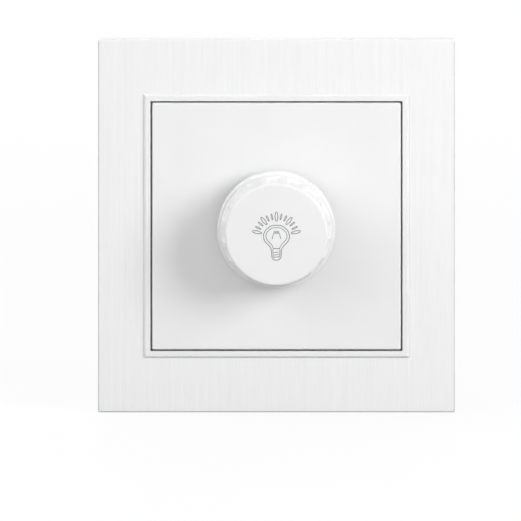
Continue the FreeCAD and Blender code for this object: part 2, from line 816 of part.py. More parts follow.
def make_housing_rear():
    body = octagon(0, lid_rear, housing_rear_y).common(above(shelf_bottom, lid_rear, housing_rear_y))
    inside = octagon(housing_wall, lid_rear, floor_front).common(above(shelf_top, lid_rear, floor_front))
    body = body.cut(inside)
    for x, z in board_posts():
        body = body.fuse(rod_y(board_post_radius, board_rear, floor_front, x, z))
    boss = rod_y(housing_boss_radius, lid_rear, lid_rear + housing_screw_length, upper_screw_x, upper_screw_z)
    body = body.fuse(boss.common(octagon(0, lid_rear, housing_rear_y)))
    for x, z in housing_screw_places():
        body = body.cut(rod_y(housing_screw_radius, lid_rear, lid_rear + housing_screw_length, x, z))
    for x, z in board_posts()[:2]:
        body = body.cut(rod_y(board_screw_radius, board_rear, board_front + board_screw_length, x, z))
    for i in range(vent_count):
        x = (i - (vent_count - 1) / 2) * vent_pitch
        body = body.cut(block(x - vent_width / 2, x + vent_width / 2, floor_front, housing_rear_y,
                              vent_height - vent_length / 2, vent_height + vent_length / 2))
    return body.cut(tail_slots(tail_clearance))


def make_terminal_block():
    body = octagon(0, lid_rear, housing_rear_y).common(below(shelf_bottom, lid_rear, housing_rear_y))
    trough_front = housing_rear_y - trough_depth
    half = trough_width / 2
    trough = block(-half, half, trough_front, housing_rear_y, -half_housing, pillar_top)
    core = block(-half, half, lid_rear, trough_front - housing_wall,
                 -half_housing + housing_wall, pillar_top)
    for side in (-1, 1):
        x = side * pillar_pitch / 2
        trough = trough.cut(block(x - divider / 2, x + divider / 2, trough_front, housing_rear_y,
                                  -half_housing, pillar_top))
    body = body.cut(trough).cut(core)
    for x, z in housing_screw_places()[:2]:
        body = body.cut(rod_y(housing_screw_radius, lid_rear, lid_rear + housing_screw_length, x, z))
    return body.cut(tail_slots(tail_clearance))


def make_terminal_pillars():
    front = housing_rear_y - trough_depth
    rear = front + pillar_depth
    middle = (front + rear) / 2
    pillars = []
    for i in (-1, 0, 1):
        x = i * pillar_pitch
        body = block(x - pillar_width / 2, x + pillar_width / 2, front, rear,
                     pillar_top - pillar_height, pillar_top)
        body = body.makeChamfer(pillar_bevel, edges_along(body, Y_AXIS))
        tail = block(x - tail_width / 2, x + tail_width / 2, board_rear, board_rear + tail_thickness,
                     pillar_top - tail_root, shelf_top + tail_overlap)
        body = body.fuse(tail)
        body = body.cut(rod_y(wire_radius, front, rear, x, wire_z))
        body = body.cut(rod_z(terminal_screw_radius, pillar_top - pillar_height, wire_z, x, middle))
        pillars.append(body)
    return Part.makeCompound(pillars)


def make_terminal_screws():
    middle = housing_rear_y - trough_depth + pillar_depth / 2
    screws = []
    for i in (-1, 0, 1):
        x = i * pillar_pitch
        bottom = -half_housing
        body = rod_z(terminal_screw_radius, bottom, wire_z - wire_radius - terminal_screw_tip_gap, x, middle)
        slot = block(x - terminal_screw_radius, x + terminal_screw_radius, middle - recess_width / 2,
                     middle + recess_width / 2, bottom, bottom + recess_depth)
        screws.append(body.cut(slot))
    return Part.makeCompound(screws)


def make_housing_screws():
    screws = []
    for x, z in housing_screw_places():
        screws.append(screw_y(x, z, support_front, housing_screw_head_radius, housing_screw_head_height,
                              housing_screw_radius,
                              lid_rear - support_front + housing_screw_length - housing_screw_end))
    return Part.makeCompound(screws)


def make_board_screws():
    screws = []
    for x, z in board_posts()[:2]:
        screws.append(screw_y(x, z, board_front, board_screw_head_radius, board_screw_head_height,
                              board_screw_radius, board_screw_length))
    return Part.makeCompound(screws)


def make_pot_case():
    body = rod_y(pot_radius, lid_rear, pot_rear)
    body = body.cut(rod_y(pot_radius - pot_wall, lid_rear, pot_floor_front))
    half_stop = HALF_TURN - turn_range - stop_width - stop_clearance
    lug = ring_sector(carrier_radius + stop_gap, pot_radius - pot_wall / 2,
                      flange_rear, track_front - end_clearance, half_stop, DOWNWARDS)
    body = body.fuse(lug.common(rod_y(pot_radius, lid_rear, pot_rear)))
    return body.cut(rod_y(spigot_radius + running_clearance, pot_floor_front, pot_rear))


def make_resistive_track():
    return ring_sector(track_inner, track_outer, track_front, pot_floor_front, track_angle / 2, UPWARDS)


def make_wiper_carrier():
    disc = rod_y(carrier_radius, disc_front, disc_rear)
    body = disc.fuse(ring_sector(carrier_radius - stop_root, carrier_radius + stop_height,
                                 disc_front, disc_rear, stop_width, UPWARDS))
    ring_outer = shoulder_radius + shoulder_gap + carrier_ring_wall
    ring = rod_y(ring_outer, shoulder_front, disc_front)
    ring = ring.cut(rod_y(ring_outer - carrier_ring_wall, shoulder_front, disc_front))
    body = body.fuse(ring)
    body = body.fuse(rod_y(carrier_hub_radius, disc_rear, pot_floor_front - end_clearance))
    body = body.fuse(rod_y(spigot_radius, pot_floor_front - end_clearance, pot_rear - end_clearance))
    hole = square_bar(tongue_size + 2 * running_clearance, disc_front, pot_rear)
    return body.cut(hole).removeSplitter()


def make_wiper_brush():
    touch = track_front - running_clearance
    half = brush_width / 2
    base = block(-half, half, disc_rear, disc_rear + brush_thickness,
                 carrier_hub_radius, carrier_radius - brush_edge)
    pad_z0 = (track_inner + track_outer) / 2 - brush_thickness
    pad = block(-half, half, disc_rear, touch, pad_z0, pad_z0 + 2 * brush_thickness)
    return base.fuse(pad).removeSplitter()


def pot_pin_solids():
    pins = []
    foot_y0 = (pot_floor_front + pot_rear - pot_pin_thickness) / 2
    foot_y1 = foot_y0 + pot_pin_thickness
    for i in (-1, 0, 1):
        x = i * pot_pin_pitch
        half = pin_width / 2
        foot = block(x - half, x + half, foot_y0, foot_y1, -pot_pin_reach, -track_inner)
        leg = block(x - half, x + half, foot_y0, lead_end, -pot_pin_reach, -pot_radius)
        pins.append(foot.fuse(leg).removeSplitter())
    return pins


def make_switch_case():
    body = square_bar(switch_size, pot_rear, board_front)
    body = body.makeFillet(switch_corner, edges_along(body, Y_AXIS))
    body = body.cut(square_bar(switch_size - 2 * switch_wall, switch_inside, switch_floor_front))
    body = body.cut(rod_y(plunger_radius + end_clearance, pot_rear, switch_inside))
    for x in (-contact_spacing / 2, contact_spacing / 2):
        half = pin_width / 2
        body = body.cut(block(x - half, x + half, switch_floor_front, board_front, -half, half))
    return body


def make_plunger():
    body = rod_y(plunger_radius, plunger_front, plunger_head_front)
    body = body.fuse(rod_y(plunger_head_radius, plunger_head_front, plunger_head_rear))
    pin_end = contact_rear + plunger_pin_length
    return body.fuse(rod_y(plunger_pin_radius, plunger_head_rear, pin_end))


def make_moving_contact():
    body = block(-contact_length / 2, contact_length / 2, plunger_head_rear, contact_rear,
                 -contact_width / 2, contact_width / 2)
    return body.cut(rod_y(plunger_pin_radius, plunger_head_rear, contact_rear))


def make_fixed_contacts():
    touch = contact_rear + push_travel + running_clearance
    contacts = []
    for x in (-contact_spacing / 2, contact_spacing / 2):
        half = pin_width / 2
        button = rod_y(contact_radius, touch, switch_floor_front - contact_strip, x, 0)
        strip = block(x - contact_radius, x + contact_radius, switch_floor_front - contact_strip,
                      switch_floor_front, -contact_radius, contact_radius)
        pin = block(x - half, x + half, switch_floor_front, lead_end, -half, half)
        contacts.append(button.fuse(strip).fuse(pin).removeSplitter())
    return contacts


def make_return_spring():
    # open coil between the moving contact and the switch's rear wall, laid along Y
    height = switch_floor_front - contact_rear - 2 * spring_wire
    helix = Part.makeHelix(height / spring_turns, height, spring_radius)
    section = Part.Wire(Part.makeCircle(spring_wire, Vec(spring_radius, 0, 0), Y_AXIS))
    coil = Part.Wire(helix.Edges).makePipeShell([section], True, True)
    coil.rotate(Vec(0, 0, 0), X_AXIS, -90)
    coil.translate(Vec(0, contact_rear + spring_wire, 0))
    return coil


def triac_parts():
    body_y1 = sink_rear + triac_pad_thickness + triac_body_depth
    tab_y0 = sink_rear + triac_pad_thickness
    half = triac_width / 2
    body_top = triac_foot + triac_body_length
    moulding = block(triac_x - half, triac_x + half, tab_y0, body_y1, triac_foot, body_top)
    tab = block(triac_x - half, triac_x + half, tab_y0, tab_y0 + triac_tab_thickness, body_top, triac_top)
    tab = tab.cut(rod_y(triac_screw_radius, tab_y0, tab_y0 + triac_tab_thickness, triac_x, triac_hole_z))
    body = moulding.fuse(tab)
    lead_y = tab_y0 + triac_lead_level
    leads = []
    for i in (-1, 0, 1):
        x = triac_x + i * triac_lead_pitch
        half_pin = pin_width / 2
        drop = block(x - half_pin, x + half_pin, lead_y, lead_y + triac_lead_thickness,
                     triac_lead_foot, triac_foot)
        run = block(x - half_pin, x + half_pin, lead_y, lead_end,
                    triac_lead_foot, triac_lead_foot + triac_lead_thickness)
        leads.append(drop.fuse(run).removeSplitter())
    return body, leads


def make_triac_pad():
    body = triac_window(0, sink_rear, sink_rear + triac_pad_thickness)
    return body.cut(rod_y(triac_screw_radius, sink_rear, lid_rear, triac_x, triac_hole_z))


def make_triac_screw():
    tab_rear = sink_rear + triac_pad_thickness + triac_tab_thickness
    head = rod_y(triac_screw_head_radius, tab_rear, tab_rear + triac_screw_head_height, triac_x, triac_hole_z)
    head = head.makeFillet(head_round, edges_at_y(head, tab_rear + triac_screw_head_height))
    body = head.fuse(rod_y(triac_screw_radius, 0, tab_rear, triac_x, triac_hole_z))
    reach = triac_screw_head_radius * recess_share
    y = tab_rear + triac_screw_head_height - recess_depth
    return body.cut(cross_recess(y, triac_x, triac_hole_z, reach))


def choke_ring(inner, outer, y0, y1):
    return rod_y(outer, y0, y1, choke_x, choke_z).cut(rod_y(inner, y0, y1, choke_x, choke_z))


def make_choke_core():
    front = board_front - choke_core_height - choke_wire
    body = choke_ring(choke_core_inner, choke_core_outer, front, front + choke_core_height)
    rims = edges_at_y(body, front) + edges_at_y(body, front + choke_core_height)
    return body.makeChamfer(choke_core_bevel, rims)


def choke_lead_places():
    reach = choke_outer * choke_lead_share
    return [(choke_x - reach, choke_z), (choke_x + reach, choke_z)]


def make_choke_winding():
    front = board_front - choke_core_height - 2 * choke_wire
    body = choke_ring(choke_core_inner - choke_wire, choke_outer, front, board_front)
    body = body.makeFillet(choke_round, edges_at_y(body, front) + edges_at_y(body, board_front))
    gap = ring_sector(0, choke_outer * 2, front, board_front, choke_open_angle / 2, choke_open_middle)
    gap.translate(Vec(choke_x, 0, choke_z))
    body = body.cut(gap).cut(make_choke_core())
    for x, z in choke_lead_places():
        body = body.fuse(upright_lead(x, z, board_front - choke_wire / 2))
    return body


def box_part(x0, x1, z0, z1, height):
    body = block(x0, x1, board_front - height, board_front, z0, z1)
    body = body.makeFillet(component_round, edges_along(body, Y_AXIS) + edges_at_y(body, board_front - height))
    middle = (z0 + z1) / 2
    for x in (x0 + box_lead_inset, x1 - box_lead_inset):
        body = body.fuse(upright_lead(x, middle, board_front - seat_depth))
    return body


def make_filter_capacitor():
    return box_part(filter_left, filter_right, filter_bottom, filter_top, filter_height)


def make_timing_capacitor():
    return box_part(film_x - film_length / 2, film_x + film_length / 2, film_z - film_width / 2,
                    film_z + film_width / 2, film_height)


def axial_part(x, z, radius, length):
    y = board_front - radius
    half = length / 2
    body = rod_x(radius, x - half, x + half, y, z)
    reach = half + axial_lead
    body = body.fuse(rod_x(lead_radius, x - reach, x + reach, y, z))
    for end in (x - reach + lead_radius, x + reach - lead_radius):
        body = body.fuse(upright_lead(end, z, y))
    return body


def resistor_parts():
    spacing = resistor_length / 2 + axial_lead + part_gap / 2
    return [axial_part(side * spacing, resistor_z, resistor_radius, resistor_length) for side in (-1, 1)]


def fuse_y():
    return board_front - clip_base - fuse_cap_radius


def make_fuse_tube():
    half = fuse_length / 2
    body = rod_x(fuse_radius, -half, half, fuse_y(), fuse_z)
    return body.cut(rod_x(fuse_radius - fuse_wall, -half, half, fuse_y(), fuse_z))


def make_fuse_caps():
    half = fuse_length / 2
    caps = []
    for side in (-1, 1):
        outer = side * (half + fuse_wall)
        inner = side * (half - fuse_cap_length)
        cap = rod_x(fuse_cap_radius, min(outer, inner), max(outer, inner), fuse_y(), fuse_z)
        cap = cap.cut(rod_x(fuse_radius, -half, half, fuse_y(), fuse_z))
        caps.append(cap)
    return Part.makeCompound(caps)


def fuse_clip_parts():
    clips = []
    y = fuse_y()
    outer = fuse_clip_half
    for side in (-1, 1):
        x = side * (fuse_length / 2 - fuse_cap_length / 2)
        x0 = x - clip_length / 2
        x1 = x + clip_length / 2
        body = block(x0, x1, y - clip_arm, board_front, fuse_z - outer, fuse_z + outer)
        body = body.cut(block(x0, x1, y - clip_arm, y, fuse_z - fuse_cap_radius, fuse_z + fuse_cap_radius))
        body = body.cut(rod_x(fuse_cap_radius, x0, x1, y, fuse_z))
        leg = block(x - pin_width / 2, x + pin_width / 2, board_front - clip_base / 2, lead_end,
                    fuse_z - clip_metal, fuse_z + clip_metal)
        clips.append(body.fuse(leg).removeSplitter())
    return clips


def make_trimmer_body():
    half = trimmer_size / 2
    front = board_front - trimmer_height
    body = block(trimmer_x - half, trimmer_x + half, front, board_front, trimmer_z - half, trimmer_z + half)
    body = body.makeFillet(component_round, edges_along(body, Y_AXIS))
    seat = rod_y(trimmer_dial_radius + running_clearance, front, front + trimmer_dial_depth,
                 trimmer_x, trimmer_z)
    body = body.cut(seat)
    for i in (-1, 0, 1):
        body = body.fuse(upright_lead(trimmer_x + i * (half - trimmer_pin_inset),
                                      trimmer_z - half + trimmer_pin_inset, board_front - seat_depth))
    return body


def make_trimmer_rotor():
    front = board_front - trimmer_height
    rear = front + trimmer_dial_depth - running_clearance
    body = rod_y(trimmer_dial_radius, front, rear, trimmer_x, trimmer_z)
    reach = dial_slot_length / 2
    slot = block(trimmer_x - reach, trimmer_x + reach, front, front + slot_cut,
                 trimmer_z - slot_cut / 2, trimmer_z + slot_cut / 2)
    return body.cut(slot)


def board_outline():
    inset = housing_wall + board_edge_gap
    outline = octagon(inset, board_front, board_rear)
    return outline.common(above(shelf_top + board_edge_gap, board_front, board_rear))


def make_circuit_board(soldered):
    body = board_outline()
    for piece in soldered:
        body = body.cut(piece)
    for x, z in board_posts()[:2]:
        body = body.cut(rod_y(board_screw_radius, board_front, board_rear, x, z))
    return body


def save(name, shape):
    shape.exportStep("parts/" + name + ".step")
    solids = shape.Solids
    print(name, len(solids), "solids", round(sum(s.Volume for s in solids), 2), "mm3", shape.isValid())


def main():
    pins = pot_pin_solids()
    contacts = make_fixed_contacts()
    triac_body, triac_leads = triac_parts()
    choke_winding = make_choke_winding()
    filter_capacitor = make_filter_capacitor()
    timing_capacitor = make_timing_capacitor()
    diac = axial_part(0, diac_z, diac_radius, diac_length)
    resistors = resistor_parts()
    clips = fuse_clip_parts()
    trimmer_body = make_trimmer_body()
    pot_case = make_pot_case()
    for pin in pins:
        pot_case = pot_case.cut(pin)
    soldered = pins + contacts + triac_leads + resistors + clips
    soldered += [choke_winding, filter_capacitor, timing_capacitor, diac, trimmer_body]

    save("decor_frame", make_decor_frame())
    save("base_frame", make_base_frame())
    save("cover_plate", make_cover_plate())
    save("cover_nut", make_cover_nut())
    save("knob", make_knob())
    save("knob_clip", make_knob_clip())
    save("control_shaft", make_control_shaft())
    save("shaft_circlip", make_shaft_circlip())
    save("pot_bushing", make_pot_bushing())
    save("bushing_nut", make_bushing_nut())
    save("lock_washer", make_lock_washer())
    save("support_plate", make_support_plate())
    save("claw_left", make_claw(-1))
    save("claw_right", make_claw(1))
    save("claw_pins", make_claw_pins())
    save("claw_screws", make_claw_screws())
    save("heat_sink", make_heat_sink())
    save("housing_lid", make_housing_lid())
    save("housing_rear", make_housing_rear())
    save("terminal_block", make_terminal_block())
    save("terminal_pillars", make_terminal_pillars())
    save("terminal_screws", make_terminal_screws())
    save("housing_screws", make_housing_screws())
    save("board_screws", make_board_screws())
    save("circuit_board", make_circuit_board(soldered))
    save("pot_case", pot_case)
    save("pot_terminals", Part.makeCompound(pins))
    save("resistive_track", make_resistive_track())
    save("wiper_carrier", make_wiper_carrier())
    save("wiper_brush", make_wiper_brush())
    save("switch_case", make_switch_case())
    save("plunger", make_plunger())
    save("moving_contact", make_moving_contact())
    save("fixed_contacts", Part.makeCompound(contacts))
    save("return_spring", make_return_spring())
    save("triac", triac_body)
    save("triac_leads", Part.makeCompound(triac_leads))
    save("triac_pad", make_triac_pad())
    save("triac_screw", make_triac_screw())
    save("choke_core", make_choke_core())
    save("choke_winding", choke_winding)
    save("filter_capacitor", filter_capacitor)
    save("timing_capacitor", timing_capacitor)
    save("diac", diac)
    save("resistors", Part.makeCompound(resistors))
    save("fuse_tube", make_fuse_tube())
    save("fuse_caps", make_fuse_caps())
    save("fuse_clips", Part.makeCompound(clips))
    save("trimmer_body", trimmer_body)
    save("trimmer_rotor", make_trimmer_rotor())


main()
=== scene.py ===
import bpy, json, math
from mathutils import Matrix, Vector


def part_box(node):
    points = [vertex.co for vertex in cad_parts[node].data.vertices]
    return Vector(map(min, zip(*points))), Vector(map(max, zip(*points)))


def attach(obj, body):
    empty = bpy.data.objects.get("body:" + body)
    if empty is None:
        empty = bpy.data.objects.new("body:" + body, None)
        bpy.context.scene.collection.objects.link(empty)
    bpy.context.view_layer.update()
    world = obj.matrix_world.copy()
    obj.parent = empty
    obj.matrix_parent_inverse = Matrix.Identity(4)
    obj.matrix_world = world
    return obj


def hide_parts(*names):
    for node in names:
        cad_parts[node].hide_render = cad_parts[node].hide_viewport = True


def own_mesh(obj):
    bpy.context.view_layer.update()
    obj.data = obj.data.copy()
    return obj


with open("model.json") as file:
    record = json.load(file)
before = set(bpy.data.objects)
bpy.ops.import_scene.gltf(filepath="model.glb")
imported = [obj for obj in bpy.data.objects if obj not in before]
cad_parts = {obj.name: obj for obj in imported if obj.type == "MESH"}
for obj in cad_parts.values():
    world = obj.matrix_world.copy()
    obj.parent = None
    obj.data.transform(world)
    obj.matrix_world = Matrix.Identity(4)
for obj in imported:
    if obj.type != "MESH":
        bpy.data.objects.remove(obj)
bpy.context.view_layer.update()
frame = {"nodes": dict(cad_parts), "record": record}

mm = 0.001
weld = 0.002 * mm                # points nearer than this become one
hair = 0.01                      # mm, margin where points are told apart by their place
print("frame loaded:", len(frame["nodes"]), "nodes")


# Small helpers that every piece uses

def clearSelection():
    if bpy.context.mode != 'OBJECT':
        bpy.ops.object.mode_set(mode='OBJECT')
    bpy.ops.object.select_all(action='DESELECT')


def pick(*pieces):
    # selects the pieces, the first one active
    clearSelection()
    for piece in pieces:
        piece.select_set(True)
    bpy.context.view_layer.objects.active = pieces[0]


def editAll(piece):
    # opens the piece in edit mode with all of it selected
    pick(piece)
    bpy.ops.object.mode_set(mode='EDIT')
    bpy.ops.mesh.select_all(action='SELECT')


def settle(piece, name):
    # places the object at the origin, its place goes into the mesh
    pick(piece)
    bpy.ops.object.transform_apply(location=True, rotation=True, scale=True)
    piece.name = name
    piece.data.name = name
    return piece


# The camera comes first, so that everything is judged in the same view

view = {
    "elevation": 7.3,            # degrees above the knob's axis
    "width": 119.7,              # mm across the picture
    "aimX": -3.67,               # mm, picture centre from the insert plate's centre, to the right
    "aimUp": -7.84,
    "distance": 900.0,
    "near": 0.01,                # m, the camera's clipping
    "far": 20,
}


def addCamera():
    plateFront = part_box("cover_plate")[0].y
    tilt = math.radians(view["elevation"])
    up = Vector((0, math.sin(tilt), math.cos(tilt)))
    back = Vector((0, -math.cos(tilt), math.sin(tilt)))
    aim = Vector((0, plateFront, 0)) + Vector((view["aimX"] * mm, 0, 0)) + up * view["aimUp"] * mm
    place = aim + back * view["distance"] * mm
    clearSelection()
    bpy.ops.object.camera_add(location=place, rotation=(math.pi / 2 - tilt, 0, 0))
    camera = bpy.context.object
    camera.data.type = 'ORTHO'
    camera.data.ortho_scale = view["width"] * mm
    camera.data.clip_start = view["near"]
    camera.data.clip_end = view["far"]
    bpy.context.scene.camera = camera


addCamera()
print("camera set")


# Material building blocks

def newMaterial(name):
    material = bpy.data.materials.new(name)
    material.use_nodes = True
    nodes = material.node_tree.nodes
    links = material.node_tree.links
    coords = nodes.new("ShaderNodeTexCoord")
    return material, nodes, links, nodes["Principled BSDF"], coords.outputs["Object"]


def mapped(nodes, links, coords, scale):
    node = nodes.new("ShaderNodeMapping")
    node.inputs["Scale"].default_value = scale
    links.new(coords, node.inputs["Vector"])
    return node.outputs["Vector"]


def noise(nodes, links, vector, scale, detail, rough=0.5):
    node = nodes.new("ShaderNodeTexNoise")
    node.inputs["Scale"].default_value = scale
    node.inputs["Detail"].default_value = detail
    node.inputs["Roughness"].default_value = rough
    links.new(vector, node.inputs["Vector"])
    return node.outputs["Fac"]


def ranged(nodes, links, value, low, high, fromLow=0.3, fromHigh=0.7):
    node = nodes.new("ShaderNodeMapRange")
    node.inputs["From Min"].default_value = fromLow
    node.inputs["From Max"].default_value = fromHigh
    node.inputs["To Min"].default_value = low
    node.inputs["To Max"].default_value = high
    links.new(value, node.inputs["Value"])
    return node.outputs["Result"]


def maths(nodes, links, operation, *values):
    # each value is a number or a socket
    node = nodes.new("ShaderNodeMath")
    node.operation = operation
    for socket, value in zip(node.inputs, values):
        if isinstance(value, (int, float)):
            socket.default_value = value
        else:
            links.new(value, socket)
    return node.outputs[0]


def blended(nodes, links, factor, first, second):
    # each colour is three numbers or a socket
    node = nodes.new("ShaderNodeMix")
    node.data_type = 'RGBA'
    for name, colour in (("A", first), ("B", second)):
        if isinstance(colour, bpy.types.NodeSocket):
            links.new(colour, node.inputs[name])
        else:
            node.inputs[name].default_value = (*colour, 1)
    links.new(factor, node.inputs["Factor"])
    return node.outputs["Result"]


def bump(nodes, links, height, distance, strength):
    node = nodes.new("ShaderNodeBump")
    node.inputs["Strength"].default_value = strength
    node.inputs["Distance"].default_value = distance
    links.new(height, node.inputs["Height"])
    return node.outputs["Normal"]


def mixedShaders(nodes, links, factor, first, second):
    node = nodes.new("ShaderNodeMixShader")
    for socket, source in zip(node.inputs, (factor, first, second)):
        links.new(source, socket)
    return node.outputs[0]


def shade(colour, factor):
    return tuple(c * factor for c in colour)


# Finishes

moulded = {
    "grainDetail": 4.0,
    "grainRough": 0.6,
    "grainBump": 0.6,            # strength
    "gloss": (-0.05, 0.06),      # how far the grain shifts the roughness
    "mottleScale": 60,           # to the metre
    "mottleDetail": 2.0,
    "coatRoughness": 0.15,
}


def plastic(name, colour, roughness=0.4, grain=0.25, grainDepth=0.004, mottle=0.015, coat=0.0):
    # moulded plastic: fine grain (mm) in gloss and surface, slow mottle in colour
    material, nodes, links, shader, coords = newMaterial(name)
    fine = noise(nodes, links, coords, 1 / (grain * mm), moulded["grainDetail"], moulded["grainRough"])
    slow = noise(nodes, links, coords, moulded["mottleScale"], moulded["mottleDetail"])
    low = shade(colour, 1 - mottle)
    high = shade(colour, 1 + mottle)
    tone = blended(nodes, links, ranged(nodes, links, slow, 0, 1), low, high)
    links.new(tone, shader.inputs["Base Color"])
    gloss = ranged(nodes, links, fine, *(roughness + shift for shift in moulded["gloss"]))
    links.new(gloss, shader.inputs["Roughness"])
    relief = bump(nodes, links, fine, grainDepth * mm, moulded["grainBump"])
    links.new(relief, shader.inputs["Normal"])
    shader.inputs["Coat Weight"].default_value = coat
    shader.inputs["Coat Roughness"].default_value = moulded["coatRoughness"]
    return material


worked = {
    "crystals": 0.25,            # to one grain length
    "scratches": 3,              # to one grain length
    "scratchDetail": 3.0,
    "scratchRough": 0.6,
    "scratchBump": 0.5,          # strength
    "lift": 0.6,                 # how far the mottle goes up, against down
    "gloss": (-0.07, 0.10),      # how far the scratches shift the roughness
}


def metal(name, colour, roughness=0.3, grain=0.6, mottle=0.08, stretch=(1, 1, 1), depth=0.004):
    # bare or plated metal: crystal mottle and fine scratches, longest where stretch is small
    material, nodes, links, shader, coords = newMaterial(name)
    shader.inputs["Metallic"].default_value = 1.0
    crystals = nodes.new("ShaderNodeTexVoronoi")
    crystals.inputs["Scale"].default_value = 1 / (grain * mm) * worked["crystals"]
    links.new(coords, crystals.inputs["Vector"])
    split = nodes.new("ShaderNodeSeparateColor")
    links.new(crystals.outputs["Color"], split.inputs["Color"])
    low = shade(colour, 1 - mottle)
    high = shade(colour, 1 + mottle * worked["lift"])
    links.new(blended(nodes, links, split.outputs["Red"], low, high), shader.inputs["Base Color"])
    along = mapped(nodes, links, coords, stretch)
    scratches = noise(nodes, links, along, 1 / (grain * mm) * worked["scratches"],
                      worked["scratchDetail"], worked["scratchRough"])
    gloss = ranged(nodes, links, scratches, *(roughness + shift for shift in worked["gloss"]))
    links.new(gloss, shader.inputs["Roughness"])
    relief = bump(nodes, links, scratches, depth * mm, worked["scratchBump"])
    links.new(relief, shader.inputs["Normal"])
    return material


lacquer = {
    "colour": (0.893, 0.893, 0.898),
    "line": 0.20,                # mm across one brush line
    "streak": 6.0,               # mm along a short one
    "shortShare": 0.55,
    "longShare": 0.45,           # of long lines among the short ones
    "longLine": 0.7,             # how closely they lie, against the short ones
    "longSpeed": 0.25,           # how quickly they change along their length
    "detail": 2.0,
    "noiseRange": (0.32, 0.68),  # darkest to lightest line
    "contrast": 0.038,
    "roughness": 0.34,
    "gloss": (-0.06, 0.08),
    "relief": 0.004,             # mm
    "reliefStrength": 0.6,
    "anisotropic": 0.4,
    # edge: grey of a line of painted shade along the frame's rounded front outline
    "edge": (0.70, 0.70, 0.71),
    "edgeWidth": 0.28,           # mm
    "edgeFade": (0.8, 1.3),      # widths in from the outline
    "edgeDepth": (1.2, 1.6),     # widths behind the face
    "edgeTop": 0.15,             # how much of the painted shade line is left along the top, where the light falls
    "topFade": (1.0, 0.4),       # mm below the top, over which the painted shade line fades away
}


def brushedWhite():
    # white lacquer over fine upright brushing, with a thin grey line of painted shade along the rounded
    # front outline, mostly left out along the top, where the light falls on it
    look = lacquer
    material, nodes, links, shader, coords = newMaterial("brushedWhiteLacquer")
    along = look["line"] / look["streak"]
    scale = 1 / (look["line"] * mm)
    shortVector = mapped(nodes, links, coords, (1, 1, along))
    short = noise(nodes, links, shortVector, scale, look["detail"])
    longVector = mapped(nodes, links, coords, (1, 1, along * look["longSpeed"]))
    long = noise(nodes, links, longVector, look["longLine"] * scale, look["detail"])
    lines = maths(nodes, links, 'MULTIPLY_ADD', long, look["longShare"],
                  maths(nodes, links, 'MULTIPLY', short, look["shortShare"]))
    low = shade(look["colour"], 1 - look["contrast"])
    high = shade(look["colour"], 1 + look["contrast"])
    brushed = blended(nodes, links, ranged(nodes, links, lines, 0, 1, *look["noiseRange"]), low, high)

    # painted shade: a grey line on the front outline stands in for the shade of the rounded edge
    # distance to the outline, from the frame's own box
    lowest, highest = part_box("decor_frame")
    place = nodes.new("ShaderNodeSeparateXYZ")
    links.new(coords, place.inputs[0])
    x, y, z = place.outputs
    fromSide = maths(nodes, links, 'SUBTRACT', highest.x, maths(nodes, links, 'ABSOLUTE', x))
    fromTop = maths(nodes, links, 'SUBTRACT', highest.z, maths(nodes, links, 'ABSOLUTE', z))
    inward = maths(nodes, links, 'MINIMUM', fromSide, fromTop)
    behindFace = maths(nodes, links, 'SUBTRACT', y, lowest.y)
    width = look["edgeWidth"] * mm
    nearEdge = ranged(nodes, links, inward, 1, 0, *(width * share for share in look["edgeFade"]))
    nearFace = ranged(nodes, links, behindFace, 1, 0, *(width * share for share in look["edgeDepth"]))
    # the painted shade is mostly left out along the top, where the light falls on the edge
    levels = [highest.z - drop * mm for drop in look["topFade"]]
    shadeBelowTop = ranged(nodes, links, z, 1, look["edgeTop"], *levels)
    outline = maths(nodes, links, 'MULTIPLY', nearEdge, nearFace)
    paintedEdgeShade = maths(nodes, links, 'MULTIPLY', outline, shadeBelowTop)
    links.new(blended(nodes, links, paintedEdgeShade, brushed, look["edge"]), shader.inputs["Base Color"])
    gloss = ranged(nodes, links, lines, *(look["roughness"] + shift for shift in look["gloss"]))
    links.new(gloss, shader.inputs["Roughness"])
    relief = bump(nodes, links, lines, look["relief"] * mm, look["reliefStrength"])
    links.new(relief, shader.inputs["Normal"])
    shader.inputs["Anisotropic"].default_value = look["anisotropic"]
    return material


fuseGlass = {
    "colour": (0.95, 0.98, 0.98),
    "roughness": (0.02, 0.06),
    "mottleScale": 400,          # to the metre
    "mottleDetail": 2.0,
    "transmission": 0.95,
    "ior": 1.5,
}


def clearGlass():
    look = fuseGlass
    material, nodes, links, shader, coords = newMaterial("fuseGlass")
    slow = noise(nodes, links, coords, look["mottleScale"], look["mottleDetail"])
    links.new(ranged(nodes, links, slow, *look["roughness"]), shader.inputs["Roughness"])
    shader.inputs["Base Color"].default_value = (*look["colour"], 1)
    shader.inputs["Transmission Weight"].default_value = look["transmission"]
    shader.inputs["IOR"].default_value = look["ior"]
    return material


